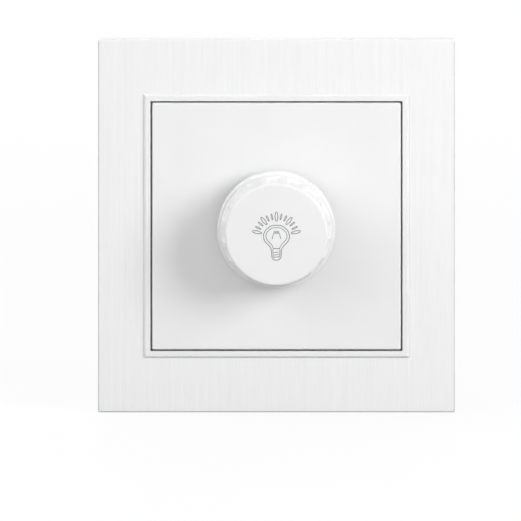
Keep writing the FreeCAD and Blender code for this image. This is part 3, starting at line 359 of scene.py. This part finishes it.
looks = {
    "brushed_white": brushedWhite(),
    "frame_white": plastic("bezelWhite", (0.87, 0.87, 0.87), 0.30, grain=0.5, grainDepth=0.001, coat=0.1),
    "plate_white": plastic("plateSatinWhite", (0.87, 0.87, 0.875), 0.42, grain=0.18, grainDepth=0.002),
    "knob_white": plastic("knobWhite", (0.88, 0.88, 0.88), 0.32, grain=0.35, grainDepth=0.001, coat=0.15),
    "nut_white": plastic("nutWhite", (0.80, 0.80, 0.79), 0.5, grain=0.3),
    "zinc_steel": metal("zincPlatedSteel", (0.62, 0.63, 0.65), 0.32, grain=0.9),
    "claw_steel": metal("yellowZincSteel", (0.70, 0.62, 0.40), 0.34, grain=0.7, mottle=0.12),
    "spring_steel": metal("springSteel", (0.45, 0.45, 0.47), 0.25, grain=0.3),
    "brass": metal("turnedBrass", (0.78, 0.60, 0.30), 0.25, grain=0.35, stretch=(1, 8, 1)),
    "sink_aluminium": metal("sinkAluminium", (0.80, 0.81, 0.82), 0.38, grain=0.5, stretch=(1, 1, 0.05)),
    "housing_grey": plastic("housingGrey", (0.055, 0.057, 0.062), 0.48, grain=0.22, grainDepth=0.010),
    "board_laminate": plastic("boardGreen", (0.03, 0.16, 0.07), 0.3, grain=0.6, mottle=0.10, coat=0.3),
    "control_black": plastic("controlBlack", (0.02, 0.02, 0.022), 0.4, grain=0.2, grainDepth=0.006),
    "control_blue": plastic("controlBlue", (0.03, 0.10, 0.36), 0.35, grain=0.2),
    "carbon_track": plastic("carbonTrack", (0.015, 0.014, 0.014), 0.6, grain=0.1),
    "nylon_natural": plastic("nylonNatural", (0.72, 0.70, 0.62), 0.38, grain=0.3, coat=0.05),
    "ferrite": plastic("ferriteCoat", (0.05, 0.05, 0.055), 0.55, grain=0.15, grainDepth=0.01),
    "copper": metal("enamelledCopper", (0.72, 0.30, 0.14), 0.22, grain=0.3, stretch=(1, 0.1, 1)),
    "film_yellow": plastic("filmYellow", (0.75, 0.50, 0.03), 0.3, grain=0.4, coat=0.2),
    "film_red": plastic("filmRed", (0.45, 0.05, 0.02), 0.25, grain=0.5, coat=0.3),
    "resistor_buff": plastic("resistorBuff", (0.55, 0.38, 0.19), 0.35, grain=0.2),
    "tinned": metal("tinnedCopper", (0.72, 0.72, 0.73), 0.28, grain=0.3),
    "pad_grey": plastic("padGrey", (0.35, 0.37, 0.40), 0.7, grain=0.2),
    "fuse_glass": clearGlass(),
}


def dress(piece, slot):
    # one finish all over
    piece.data.materials.clear()
    piece.data.materials.append(looks[slot])


bodyOf = {node: body for body, nodes in frame["record"]["behaviour"]["bodies"].items() for node in nodes}
slotOf = {entry["node"]: entry["material_slot"] for entry in frame["record"]["subparts"]}

for node, slot in slotOf.items():
    dress(frame["nodes"][node], slot)
print("materials on", len(slotOf), "CAD pieces")


# Ways of shaping, shared by the pieces below

shaping = {
    "flat": 0.5,                 # degrees, faces that meet flatter than this are one
    "sharp": 30,                 # degrees, sharper edges get rounded, or stay crisp in the shading
    "segments": 2,               # of a small rounded edge
    "weight": 100,
}


def mergedCopy(node, name, whole=True):
    # a copy of a CAD node, its triangles joined and on request merged into whole faces
    piece = bpy.data.objects.new(name, frame["nodes"][node].data.copy())
    bpy.context.collection.objects.link(piece)
    editAll(piece)
    bpy.ops.mesh.remove_doubles(threshold=weld)
    if whole:
        bpy.ops.mesh.dissolve_limited(angle_limit=math.radians(shaping["flat"]))
    bpy.ops.object.mode_set(mode='OBJECT')
    piece.data.name = name
    return piece


def applied(piece, kind, **settings):
    # adds a modifier with these settings and applies it
    pick(piece)
    modifier = piece.modifiers.new(kind.lower(), kind)
    for key, value in settings.items():
        setattr(modifier, key, value)
    bpy.ops.object.modifier_apply(modifier=modifier.name)


def evenShading(piece):
    # smooth rounds, with the flat faces kept flat
    pick(piece)
    bpy.ops.object.shade_smooth_by_angle(angle=math.radians(shaping["sharp"]))
    applied(piece, 'WEIGHTED_NORMAL', mode='FACE_AREA', weight=shaping["weight"], keep_sharp=True)


def selectPoints(piece, test):
    # selects in edit mode the vertices whose place passes the test
    bpy.ops.mesh.select_mode(type='VERT')
    bpy.ops.mesh.select_all(action='DESELECT')
    bpy.ops.object.mode_set(mode='OBJECT')
    for vertex in piece.data.vertices:
        vertex.select = test(vertex.co)
    bpy.ops.object.mode_set(mode='EDIT')


def selectFaces(piece, test):
    bpy.ops.mesh.select_mode(type='FACE')
    bpy.ops.mesh.select_all(action='DESELECT')
    bpy.ops.object.mode_set(mode='OBJECT')
    for face in piece.data.polygons:
        face.select = test(face.center)
    bpy.ops.object.mode_set(mode='EDIT')


def startPoint(place):
    # a small plane merged to one vertex, from which a section line is extruded
    clearSelection()
    bpy.ops.mesh.primitive_plane_add(size=mm, location=place)
    piece = bpy.context.object
    bpy.ops.object.transform_apply(location=True, rotation=True, scale=True)
    bpy.ops.object.mode_set(mode='EDIT')
    bpy.ops.mesh.select_mode(type='VERT')
    bpy.ops.mesh.select_all(action='SELECT')
    bpy.ops.mesh.merge(type='CENTER')
    return piece


def sectionLine(corners):
    # a line of edges through the corners, left open in edit mode with its last point selected
    piece = startPoint(corners[0])
    for before, after in zip(corners[:-1], corners[1:]):
        step = [b - a for a, b in zip(before, after)]
        bpy.ops.mesh.extrude_region_move(TRANSFORM_OT_translate={"value": step})
    return piece


def standIn(piece, node):
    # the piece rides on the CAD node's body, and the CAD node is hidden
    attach(piece, bodyOf[node])
    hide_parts(node)


# Edges: moulded and stamped pieces get a rounded copy, the CAD mesh stays as it is

edgeRound = {                    # mm
    "support_plate": 0.18,
    "claw_left": 0.18,
    "claw_right": 0.18,
    "heat_sink": 0.15,
    "housing_lid": 0.20,
    "terminal_pillars": 0.12,
    "terminal_screws": 0.15,
    "base_frame": 0.15,
}

for node, width in edgeRound.items():
    copy = mergedCopy(node, node.title().replace("_", "") + "Rounded")
    applied(copy, 'BEVEL', width=width * mm, segments=shaping["segments"], limit_method='ANGLE',
            angle_limit=math.radians(shaping["sharp"]), use_clamp_overlap=True)
    evenShading(copy)
    standIn(copy, node)
print("edges rounded on", len(edgeRound), "pieces")


# Rear housing: a raised rim, a blank recessed panel, cooling grooves and ejector marks

housingShape = {
    "chamfer": 7.0,              # mm, the eight-sided outline
    "cornerRound": 0.7,
    "cornerSegments": 4,
    "rim": 1.7,                  # width of the raised rim on the rear face
    "rimStep": 0.30,
    "panel": (30.0, 8.0),        # blank recess
    "panelMiddle": -5.6,
    "panelStep": 0.35,
    "grooves": 9,
    "groovePitch": 3.1,
    "grooveWidth": 1.2,
    "grooveDepth": 0.5,
    "grooveReach": (6.0, 22.2),  # behind the wall
    "sideGrooves": (12.6, 9.6, 6.6, 3.6, 0.6),
    "marks": ((-16.0, 10.0), (16.0, 10.0), (-11.5, 17.6), (11.5, 17.6), (-18.0, -9.6), (18.0, -9.6)),
    "markRadius": 1.3,
    "markSides": 32,
    "markDepth": 0.2,
    "past": {"rim": 2, "panel": 3, "mark": 1, "groove": 2},  # how far each cutter stands out
}


def combine(piece, other, operation='DIFFERENCE'):
    applied(piece, 'BOOLEAN', operation=operation, solver='EXACT', object=other)
    bpy.data.objects.remove(other, do_unlink=True)


def blockAt(x, y, z):
    # a block between two limits along each axis, in mm
    clearSelection()
    bpy.ops.mesh.primitive_cube_add(size=1, location=[sum(span) / 2 * mm for span in (x, y, z)])
    block = bpy.context.object
    block.scale = [(span[1] - span[0]) * mm for span in (x, y, z)]
    bpy.ops.object.transform_apply(location=True, rotation=True, scale=True)
    return block


def bevelWhere(piece, width, segments, test):
    # rounds or slants the edges whose two ends pass the test
    pick(piece)
    bpy.ops.object.mode_set(mode='EDIT')
    bpy.ops.mesh.select_mode(type='EDGE')
    bpy.ops.mesh.select_all(action='DESELECT')
    bpy.ops.object.mode_set(mode='OBJECT')
    for edge in piece.data.edges:
        edge.select = test(*[piece.data.vertices[i].co for i in edge.vertices])
    bpy.ops.object.mode_set(mode='EDIT')
    bpy.ops.mesh.bevel(offset=width * mm, segments=segments)
    bpy.ops.mesh.select_mode(type='VERT')
    bpy.ops.object.mode_set(mode='OBJECT')


def eightSided(front, rear, half, chamfer, rounding=0.0):
    prism = blockAt((-half, half), (front, rear), (-half, half))
    bevelWhere(prism, chamfer, 1, lambda a, b: abs(a.y - b.y) > mm)
    if rounding > 0:
        bevelWhere(prism, rounding, housingShape["cornerSegments"],
                   lambda a, b: max(a.y, b.y) / mm > rear - hair)
    return prism


def rodAt(x, y, z, radius, sides):
    place = (x * mm, sum(y) / 2 * mm, z * mm)
    clearSelection()
    bpy.ops.mesh.primitive_cylinder_add(vertices=sides, radius=radius * mm, depth=(y[1] - y[0]) * mm,
                                        location=place, rotation=(math.pi / 2, 0, 0))
    rod = bpy.context.object
    bpy.ops.object.transform_apply(location=True, rotation=True, scale=True)
    return rod


def addHousing():
    look = housingShape
    past = look["past"]
    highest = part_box("housing_rear")[1]
    half = highest.x / mm
    rear = highest.y / mm
    shell = mergedCopy("housing_rear", "housingShell", whole=False)
    foot = mergedCopy("terminal_block", "terminalMoulding", whole=False)

    # outline and raised rim, across both mouldings
    floor = rear - look["rimStep"]
    slant = look["chamfer"] - look["rim"] * (2 - math.sqrt(2))
    for piece in (shell, foot):
        combine(piece, eightSided(0, rear, half, look["chamfer"], look["cornerRound"]), 'INTERSECT')
        combine(piece, eightSided(floor, rear + past["rim"], half - look["rim"], slant))

    # blank panel and ejector marks
    width, height = look["panel"]
    middle = look["panelMiddle"]
    combine(shell, blockAt((-width / 2, width / 2), (floor - look["panelStep"], rear + past["panel"]),
                           (middle - height / 2, middle + height / 2)))
    markReach = (floor - look["markDepth"], rear + past["mark"])
    for x, z in look["marks"]:
        combine(shell, rodAt(x, markReach, z, look["markRadius"], look["markSides"]))

    # cooling grooves on the top and both sides
    deep = half - look["grooveDepth"]
    out = half + past["groove"]
    broad = look["grooveWidth"] / 2
    for i in range(look["grooves"]):
        x = (i - (look["grooves"] - 1) / 2) * look["groovePitch"]
        combine(shell, blockAt((x - broad, x + broad), look["grooveReach"], (deep, out)))
    for side in (-1, 1):
        for level in look["sideGrooves"]:
            z = -side * level
            combine(shell, blockAt(sorted((side * deep, side * out)), look["grooveReach"],
                                   (z - broad, z + broad)))

    for piece, node in ((shell, "housing_rear"), (foot, "terminal_block")):
        evenShading(piece)
        dress(piece, "housing_grey")
        standIn(piece, node)


addHousing()
print("housing detailed")


# Threads on the two claw screws, laid over the CAD shanks

thread = {
    "pitch": 0.5,                # mm
    "crest": 1.5,                # radius
    "crestHalf": 0.03,           # half width at the crest
    "flank": 0.22,               # half width at the root
    "depth": 0.28,
    "sunk": 0.05,                # how far the ridge's foot lies inside the core
    "start": 0.5,                # behind the wall
    "lead": 0.6,                 # slim shank before the thread starts
    "steps": 24,                 # round one turn
    "tip": 9.4,
}


def slimShanks(piece):
    # takes the CAD shanks down to the thread's root and gives back their middles
    scale = (thread["crest"] - thread["depth"]) / thread["crest"]
    middles = []
    for side in (-1, 1):
        def onShank(place):
            return place.x * side > 0 and place.y / mm > thread["start"] - thread["lead"]

        points = [vertex.co for vertex in piece.data.vertices if onShank(vertex.co)]
        x = sum(point.x for point in points) / len(points)
        z = sum(point.z for point in points) / len(points)
        pick(piece)
        bpy.ops.object.mode_set(mode='EDIT')
        selectPoints(piece, onShank)
        bpy.ops.transform.resize(value=(scale, 1, scale), center_override=(x, 0, z))
        bpy.ops.object.mode_set(mode='OBJECT')
        middles.append((x, z))
    return middles


def addRidge(x, z):
    # one helical ridge, closed to a point at both ends
    look = thread
    foot = look["crest"] - look["depth"] - look["sunk"]
    section = [(foot, -look["flank"]), (look["crest"], -look["crestHalf"]),
               (look["crest"], look["crestHalf"]), (foot, look["flank"])]
    ridge = sectionLine([(0, (look["start"] + y) * mm, r * mm) for r, y in section])
    bpy.ops.mesh.select_all(action='SELECT')
    bpy.ops.mesh.edge_face_add()
    bpy.ops.mesh.delete(type='ONLY_FACE')
    bpy.ops.object.mode_set(mode='OBJECT')
    turns = int((look["tip"] - look["start"] - 2 * look["flank"]) / look["pitch"])
    applied(ridge, 'SCREW', axis='Y', angle=2 * math.pi, screw_offset=look["pitch"] * mm,
            iterations=turns, steps=look["steps"], render_steps=look["steps"])
    bpy.ops.object.mode_set(mode='EDIT')
    for end in (look["start"], look["start"] + turns * look["pitch"]):
        selectPoints(ridge, lambda place: abs(place.y / mm - end) < look["flank"] + hair
                     and abs(place.x) < 2 * hair * mm and place.z > 0)
        bpy.ops.mesh.merge(type='CENTER')
    bpy.ops.mesh.select_all(action='SELECT')
    bpy.ops.mesh.normals_make_consistent(inside=False)
    bpy.ops.object.mode_set(mode='OBJECT')
    ridge.location = (x, 0, z)
    return settle(ridge, "clawThread")


def addClawScrews():
    shank = mergedCopy("claw_screws", "clawScrews", whole=False)
    ridges = [addRidge(x, z) for x, z in slimShanks(shank)]
    pick(shank, *ridges)
    bpy.ops.object.join()
    evenShading(shank)
    dress(shank, "zinc_steel")
    standIn(shank, "claw_screws")


addClawScrews()
print("claw screws threaded")


# Return spring: the switch case holds its rear end, and the plunger presses its front end back


def addSpring():
    coil = mergedCopy("return_spring", "springCoil", whole=False)
    pick(coil)
    bpy.ops.object.shade_smooth()
    standIn(coil, "return_spring")
    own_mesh(coil)


addSpring()
print("return spring placed")


# Seal: a thin white strip in the joint between the decorative frame's window and the bezel

seal = {
    "inner": 30.48,              # mm from the middle, under the bezel's edge
    "outer": 30.63,
    "front": 8.94,               # mm in front of the wall, just below the frame's face
    "depth": 0.8,
    "round": 0.02,
}


def addSeal():
    clearSelection()
    bpy.ops.mesh.primitive_plane_add(size=2 * seal["outer"] * mm, location=(0, -seal["front"] * mm, 0),
                                     rotation=(math.pi / 2, 0, 0))
    strip = settle(bpy.context.object, "bezelSeal")
    editAll(strip)
    bpy.ops.mesh.inset(thickness=(seal["outer"] - seal["inner"]) * mm)
    bpy.ops.mesh.delete(type='FACE')
    bpy.ops.mesh.select_all(action='SELECT')
    bpy.ops.mesh.extrude_region_move(TRANSFORM_OT_translate={"value": (0, seal["depth"] * mm, 0)})
    bpy.ops.mesh.select_all(action='SELECT')
    bpy.ops.mesh.normals_make_consistent(inside=False)
    bpy.ops.object.mode_set(mode='OBJECT')
    applied(strip, 'BEVEL', width=seal["round"] * mm, segments=shaping["segments"])
    dress(strip, "frame_white")
    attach(strip, "chassis")


addSeal()
print("joint sealed")


# Knob: lip, groove, slightly conical grip with sixteen soft finger notches, flat face

knobShape = {
    "columns": 128,              # eight for each notch
    "notches": 16,
    "phase": -2.5,               # degrees, clockwise seen from the room
    "notchDepth": 0.64,          # mm, before the surface is smoothed
    "notchHalf": 3,              # columns from a notch's middle to its rim
    "notchRows": (2, 9),         # grip rows between which it lies
    "endRound": 0.22,            # mm that its corners move towards its middle
    "rimCrease": 0.65,
    "gripMiddle": 12.3,          # mm, mean radius of the grip
    "gripInside": 11.0,          # mm, every point of the grip lies outside this radius
    "rowReach": 0.05,            # mm to each side of a row
    "smoothing": 2,
    "grip": ((12.90, 17.30), (11.75, 25.0)),
    # rear to front: radius and distance in front of the wall, mm
    "inside": [(0.0, 22.9), (2.9, 22.9), (3.02, 22.8), (3.02, 14.8), (3.12, 14.7), (4.65, 14.7),
               (4.75, 14.8), (4.75, 23.1), (4.9, 23.2), (10.0, 23.2), (10.15, 23.05), (10.9, 13.55),
               (10.9, 11.95)],
    "lip": [(11.05, 11.8), (12.90, 11.8), (13.05, 11.95), (13.05, 13.25), (13.15, 13.4), (13.38, 13.4),
            (13.55, 13.56), (13.55, 16.38), (13.44, 16.68), (13.16, 16.80), (12.66, 16.80),
            (12.56, 16.88), (12.56, 17.20), (12.64, 17.28), (12.82, 17.30), (12.90, 17.40)],
    "gripRows": [0.055, 0.13, 0.19, 0.25, 0.35, 0.46, 0.57, 0.68, 0.78, 0.85, 0.90],
    "face": [(11.85, 24.56), (11.72, 24.84), (11.46, 24.95), (11.20, 24.97), (6.0, 24.97), (0.0, 24.97)],
}


def turned(path, columns, phase):
    # spins a section, given as (radius, distance in front of the wall) in mm, about the knob's axis
    turn = math.radians(phase)
    piece = sectionLine([(r * math.sin(turn) * mm, -forward * mm, r * math.cos(turn) * mm)
                         for r, forward in path])
    bpy.ops.mesh.select_all(action='SELECT')
    bpy.ops.mesh.spin(steps=columns, angle=2 * math.pi, center=(0, 0, 0), axis=(0, 1, 0))
    bpy.ops.mesh.select_all(action='SELECT')
    bpy.ops.mesh.remove_doubles(threshold=weld)
    bpy.ops.mesh.normals_make_consistent(inside=False)
    return piece


def smoothSurface(piece, levels):
    pick(piece)
    bpy.ops.object.shade_smooth()
    applied(piece, 'SUBSURF', levels=levels, render_levels=levels)


def addKnob():
    look = knobShape
    base, top = look["grip"]
    rows = [tuple(a + (b - a) * share for a, b in zip(base, top)) for share in look["gripRows"]]
    knob = turned(look["inside"] + look["lip"] + rows + look["face"], look["columns"], look["phase"])

    pitch = math.radians(360 / look["notches"])
    column = math.radians(360 / look["columns"])
    halfColumn = 0.5

    def offMiddle(place):
        # columns between a place and the nearest notch's middle
        angle = math.atan2(place.x, place.z) - math.radians(look["phase"])
        return abs((angle + pitch / 2) % pitch - pitch / 2) / column

    def between(place, low, high):
        # true on the grip, from one row to another
        rear = rows[low][1] - look["rowReach"]
        front = rows[high][1] + look["rowReach"]
        return place.xz.length > look["gripInside"] * mm and rear < -place.y / mm < front

    half = look["notchHalf"]
    first, last = look["notchRows"]
    selectFaces(knob, lambda place: between(place, first, last) and offMiddle(place) < half)
    bpy.ops.mesh.region_to_loop()
    bpy.ops.transform.edge_crease(value=look["rimCrease"])
    # round ends: the four corners of each notch move towards its middle
    for row, shift in ((first, -look["endRound"]), (last, look["endRound"])):
        selectPoints(knob, lambda place: between(place, row, row)
                     and abs(offMiddle(place) - half) < halfColumn)
        bpy.ops.transform.translate(value=(0, shift * mm, 0))
    selectPoints(knob, lambda place: between(place, first + 1, last - 1)
                 and offMiddle(place) < half - halfColumn)
    scale = 1 - look["notchDepth"] / look["gripMiddle"]
    bpy.ops.transform.resize(value=(scale, 1, scale), center_override=(0, 0, 0))
    bpy.ops.object.mode_set(mode='OBJECT')
    smoothSurface(knob, look["smoothing"])
    settle(knob, "knobBody")
    dress(knob, "knob_white")
    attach(knob, "knob_shaft")
    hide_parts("knob")


addKnob()
print("knob modelled")


# Printed symbol: a lit bulb in thin grey ink lines

symbol = {
    "ink": {"colour": (0.24, 0.24, 0.245), "roughness": 0.5, "grain": 0.08, "grainDepth": 0.001,
            "mottle": 0.05},
    "line": 0.22,                # mm wide
    "height": 0.016,             # mm of ink on the face
    "faceAt": 24.97,             # mm in front of the wall
    "raise": 0.14,               # mm, the whole symbol
    "weld": 0.001,               # mm
    "roundSteps": 1,             # across a stroke
    "curveSteps": 6,             # along it, from point to point
    "bulbCentre": -0.53,         # mm above the knob's axis
    "outline": [(0, 2.02), (0.95, 1.95), (1.95, 1.42), (2.70, 0.54), (2.98, -0.5), (2.78, -1.42),
                (2.24, -2.18), (1.62, -2.80), (1.24, -3.42), (1.12, -4.1), (1.08, -4.95),
                (0.94, -5.56), (0.54, -5.94), (0, -6.05)],
    "innerLine": [(0, 1.48), (0.85, 1.40), (1.62, 0.96), (2.20, 0.30), (2.42, -0.5), (2.24, -1.20),
                  (1.74, -1.82), (1.16, -2.42), (0.84, -3.05), (0.66, -3.36)],
    "collar": [(-0.70, -3.36), (0.70, -3.36)],
    "threads": [[(-0.62, -4.30), (0.62, -4.14)], [(-0.60, -4.86), (0.60, -4.70)],
                [(-0.50, -5.38), (0.50, -5.22)]],
    "capWall": [(0.80, -3.4), (0.78, -4.6), (0.72, -5.1), (0.44, -5.62)],
    "leg": [(1.0, -1.15), (0.72, -0.1), (0.62, 0.16)],
    "weights": {"inner": 0.85, "cap": 0.8, "leg": 0.9, "coil": 0.65, "shortRay": 0.9},
    "rays": 13,
    "rayPitch": 13.0,            # degrees
    "longEvery": 3,
    "longRay": (3.5, 5.6, 0.66), # inner and outer radius, width, mm
    "shortRay": (3.92, 5.30, 0.30),
    "raySide": ((0.40, 0.45), (0.5, 0), (0.36, -0.5)),  # shares of its width and half length
    "coil": {"loops": 3, "radius": 0.26, "width": 1.24, "height": 0.42, "steps": 8},
}


def inkStroke(points, name, weight=1.0, closed=False, smooth=True):
    # a thin flat stroke along (x, z) points in mm, as a mesh on the knob's face
    width = symbol["line"] * weight
    curve = bpy.data.curves.new(name, 'CURVE')
    curve.dimensions = '3D'
    curve.bevel_depth = width / 2 * mm
    curve.bevel_resolution = symbol["roundSteps"]
    curve.resolution_u = symbol["curveSteps"]
    curve.use_fill_caps = True
    spline = curve.splines.new('BEZIER' if smooth else 'POLY')
    if smooth:
        spline.bezier_points.add(len(points) - 1)
        for point, (x, z) in zip(spline.bezier_points, points):
            point.co = (x * mm, 0, z * mm)
            point.handle_left_type = 'AUTO'
            point.handle_right_type = 'AUTO'
    else:
        spline.points.add(len(points) - 1)
        for point, (x, z) in zip(spline.points, points):
            point.co = (x * mm, 0, z * mm, 1)
    spline.use_cyclic_u = closed
    stroke = bpy.data.objects.new(name, curve)
    bpy.context.collection.objects.link(stroke)
    pick(stroke)
    bpy.ops.object.convert(target='MESH')
    stroke = bpy.context.object
    stroke.scale = (1, symbol["height"] / width, 1)
    stroke.location = (0, -symbol["faceAt"] * mm, symbol["raise"] * mm)
    return settle(stroke, name)


def bothSides(half):
    # a closed line from its right half, top to bottom
    return half + [(-x, z) for x, z in reversed(half) if x > 0]


def lens(inner, outer, width, angle, centre):
    # outline of a slim ray that points away from the bulb, widest at its middle
    middle = (inner + outer) / 2
    half = (outer - inner) / 2
    side = [(width * across, middle + half * along) for across, along in symbol["raySide"]]
    shape = bothSides([(0, outer)] + side + [(0, inner)])
    c = math.cos(angle)
    s = math.sin(angle)
    return [(x * c + z * s, centre - x * s + z * c) for x, z in shape]


def coilLine(coil):
    # loops in a row, drawn as one line from left to right
    count = coil["loops"] * coil["steps"]
    points = []
    for i in range(count + 1):
        turn = 2 * math.pi * coil["loops"] * i / count
        x = coil["width"] * (i / count - 0.5) + coil["radius"] * math.sin(turn)
        points.append((x, coil["height"] - coil["radius"] * math.cos(turn)))
    return points


def addSymbol():
    weights = symbol["weights"]
    strokes = [inkStroke(bothSides(symbol["outline"]), "bulbOutline", closed=True)]
    right = symbol["innerLine"]
    whole = [(-x, z) for x, z in reversed(right[1:])] + right
    strokes.append(inkStroke(whole, "bulbInner", weights["inner"]))
    # cap: a collar line, three plain thread strokes and its two walls
    strokes.append(inkStroke(symbol["collar"], "capCollar", smooth=False))
    for points in symbol["threads"]:
        strokes.append(inkStroke(points, "capThread", weights["cap"], smooth=False))
    for side in (-1, 1):
        wall = [(side * x, z) for x, z in symbol["capWall"]]
        strokes.append(inkStroke(wall, "capWall", weights["cap"]))
    # filament: two legs that carry a row of small loops
    for side in (-1, 1):
        leg = [(side * x, z) for x, z in symbol["leg"]]
        strokes.append(inkStroke(leg, "filamentLeg", weights["leg"]))
    strokes.append(inkStroke(coilLine(symbol["coil"]), "filamentCoil", weights["coil"]))
    for i in range(symbol["rays"]):
        angle = math.radians((i - (symbol["rays"] - 1) / 2) * symbol["rayPitch"])
        isLong = i % symbol["longEvery"] == 0
        inner, outer, width = symbol["longRay"] if isLong else symbol["shortRay"]
        ray = lens(inner, outer, width, angle, symbol["bulbCentre"])
        strokes.append(inkStroke(ray, "ray", 1.0 if isLong else weights["shortRay"], closed=True))
    pick(*strokes)
    bpy.ops.object.join()
    printed = settle(bpy.context.object, "printedSymbol")
    # the open strokes' end caps come apart from their sides
    editAll(printed)
    bpy.ops.mesh.remove_doubles(threshold=symbol["weld"] * mm)
    bpy.ops.mesh.normals_make_consistent(inside=False)
    bpy.ops.object.mode_set(mode='OBJECT')
    printed.data.materials.append(plastic("greyInk", **symbol["ink"]))
    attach(printed, "knob_shaft")


addSymbol()
print("symbol printed")


# Light, floor and background

studio = {
    "ambient": 0.315,
    "aim": (0, 0, 0),
    "lamps": {                   # places and sizes in m
        "key": {"place": (0.36, -0.35, 0.17), "size": 0.23, "power": 1.66},
        "fill": {"place": (-0.33, -0.31, 0.18), "size": 0.34, "power": 0.68},
        "top": {"place": (-0.08, 0.05, 0.42), "size": 0.22, "power": 0.28},
        "side": {"place": (-0.42, 0.03, 0.22), "size": 0.20, "power": 0.36},
        "front": {"place": (0.0, -1.00, 0.10), "size": 0.80, "power": 1.07},
        "rearLeft": {"place": (-0.54, 0.92, 0.36), "size": 0.80, "power": 4.2},
        "rearRight": {"place": (0.54, 0.92, 0.36), "size": 0.80, "power": 4.2},
    },
    "floorSize": 3.0,
    "floorTone": 0.40,           # what the floor throws back onto the object
    "floorSeen": 0.95,           # how white the camera sees it
    "floorMottle": 0.99,         # darkest part of that
    "mottleScale": 3,            # to the metre
    "mottleDetail": 2.0,
    "floorRoughness": 0.6,
    "floorGlow": 0.84,           # share of plain white that the camera sees near the object
    "floorGloss": 0.05,          # share of faint mirror there
    "glossRoughness": 0.17,
    "floorFade": (0.15, 0.60),   # m over which both give way to plain white
}

white = (1, 1, 1, 1)


def addLamp(name, settings):
    place = Vector(settings["place"])
    turn = (Vector(studio["aim"]) - place).to_track_quat('-Z', 'Y').to_euler()
    clearSelection()
    bpy.ops.object.light_add(type='AREA', location=place, rotation=turn)
    lamp = bpy.context.object
    lamp.name = name
    lamp.data.shape = 'SQUARE'
    lamp.data.size = settings["size"]
    lamp.data.energy = settings["power"]
    lamp.visible_camera = False


def background(nodes, strength):
    node = nodes.new("ShaderNodeBackground")
    node.inputs["Color"].default_value = white
    node.inputs["Strength"].default_value = strength
    return node.outputs[0]


def buildWorld():
    # plain ambient light, white where it is seen directly, in gloss or through glass
    world = bpy.data.worlds.new("studioWorld")
    bpy.context.scene.world = world
    world.use_nodes = True
    nodes = world.node_tree.nodes
    links = world.node_tree.links
    nodes.clear()
    path = nodes.new("ShaderNodeLightPath")
    seen = path.outputs["Is Camera Ray"]
    for ray in ("Is Glossy Ray", "Is Transmission Ray"):
        seen = maths(nodes, links, 'MAXIMUM', seen, path.outputs[ray])
    mixed = mixedShaders(nodes, links, seen, background(nodes, studio["ambient"]), background(nodes, 1.0))
    output = nodes.new("ShaderNodeOutputWorld")
    links.new(mixed, output.inputs["Surface"])


def floorLook():
    # white sweep that keeps a soft shadow and a faint reflection
    material, nodes, links, shader, coords = newMaterial("whiteSweep")
    camera = nodes.new("ShaderNodeLightPath").outputs["Is Camera Ray"]
    slow = noise(nodes, links, coords, studio["mottleScale"], studio["mottleDetail"])
    seen = blended(nodes, links, ranged(nodes, links, slow, 0, 1), [studio["floorSeen"]] * 3,
                   [studio["floorSeen"] * studio["floorMottle"]] * 3)
    tone = blended(nodes, links, camera, [studio["floorTone"]] * 3, seen)
    links.new(tone, shader.inputs["Base Color"])
    shader.inputs["Roughness"].default_value = studio["floorRoughness"]
    shader.inputs["Specular IOR Level"].default_value = 0.0
    glow = nodes.new("ShaderNodeEmission")
    glow.inputs["Color"].default_value = white
    glow.inputs["Strength"].default_value = 1.0
    gloss = nodes.new("ShaderNodeBsdfGlossy")
    gloss.inputs["Color"].default_value = white
    gloss.inputs["Roughness"].default_value = studio["glossRoughness"]
    away = nodes.new("ShaderNodeVectorMath")
    away.operation = 'LENGTH'
    links.new(coords, away.inputs[0])
    distance = away.outputs["Value"]
    glowShare = ranged(nodes, links, distance, studio["floorGlow"], 1, *studio["floorFade"])
    glowShare = maths(nodes, links, 'MULTIPLY', camera, glowShare)
    glossShare = ranged(nodes, links, distance, studio["floorGloss"], 0, *studio["floorFade"])
    lit = mixedShaders(nodes, links, glowShare, shader.outputs[0], glow.outputs[0])
    mirrored = mixedShaders(nodes, links, glossShare, lit, gloss.outputs[0])
    links.new(mirrored, nodes["Material Output"].inputs["Surface"])
    return material


def addFloor():
    clearSelection()
    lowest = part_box("decor_frame")[0].z
    bpy.ops.mesh.primitive_plane_add(size=studio["floorSize"], location=(0, 0, lowest))
    floor = settle(bpy.context.object, "floor")
    floor.data.materials.append(floorLook())


for lampName, settings in studio["lamps"].items():
    addLamp(lampName, settings)
buildWorld()
addFloor()
print("studio built")


# The render's colour settings

bpy.context.scene.view_settings.view_transform = 'Standard'
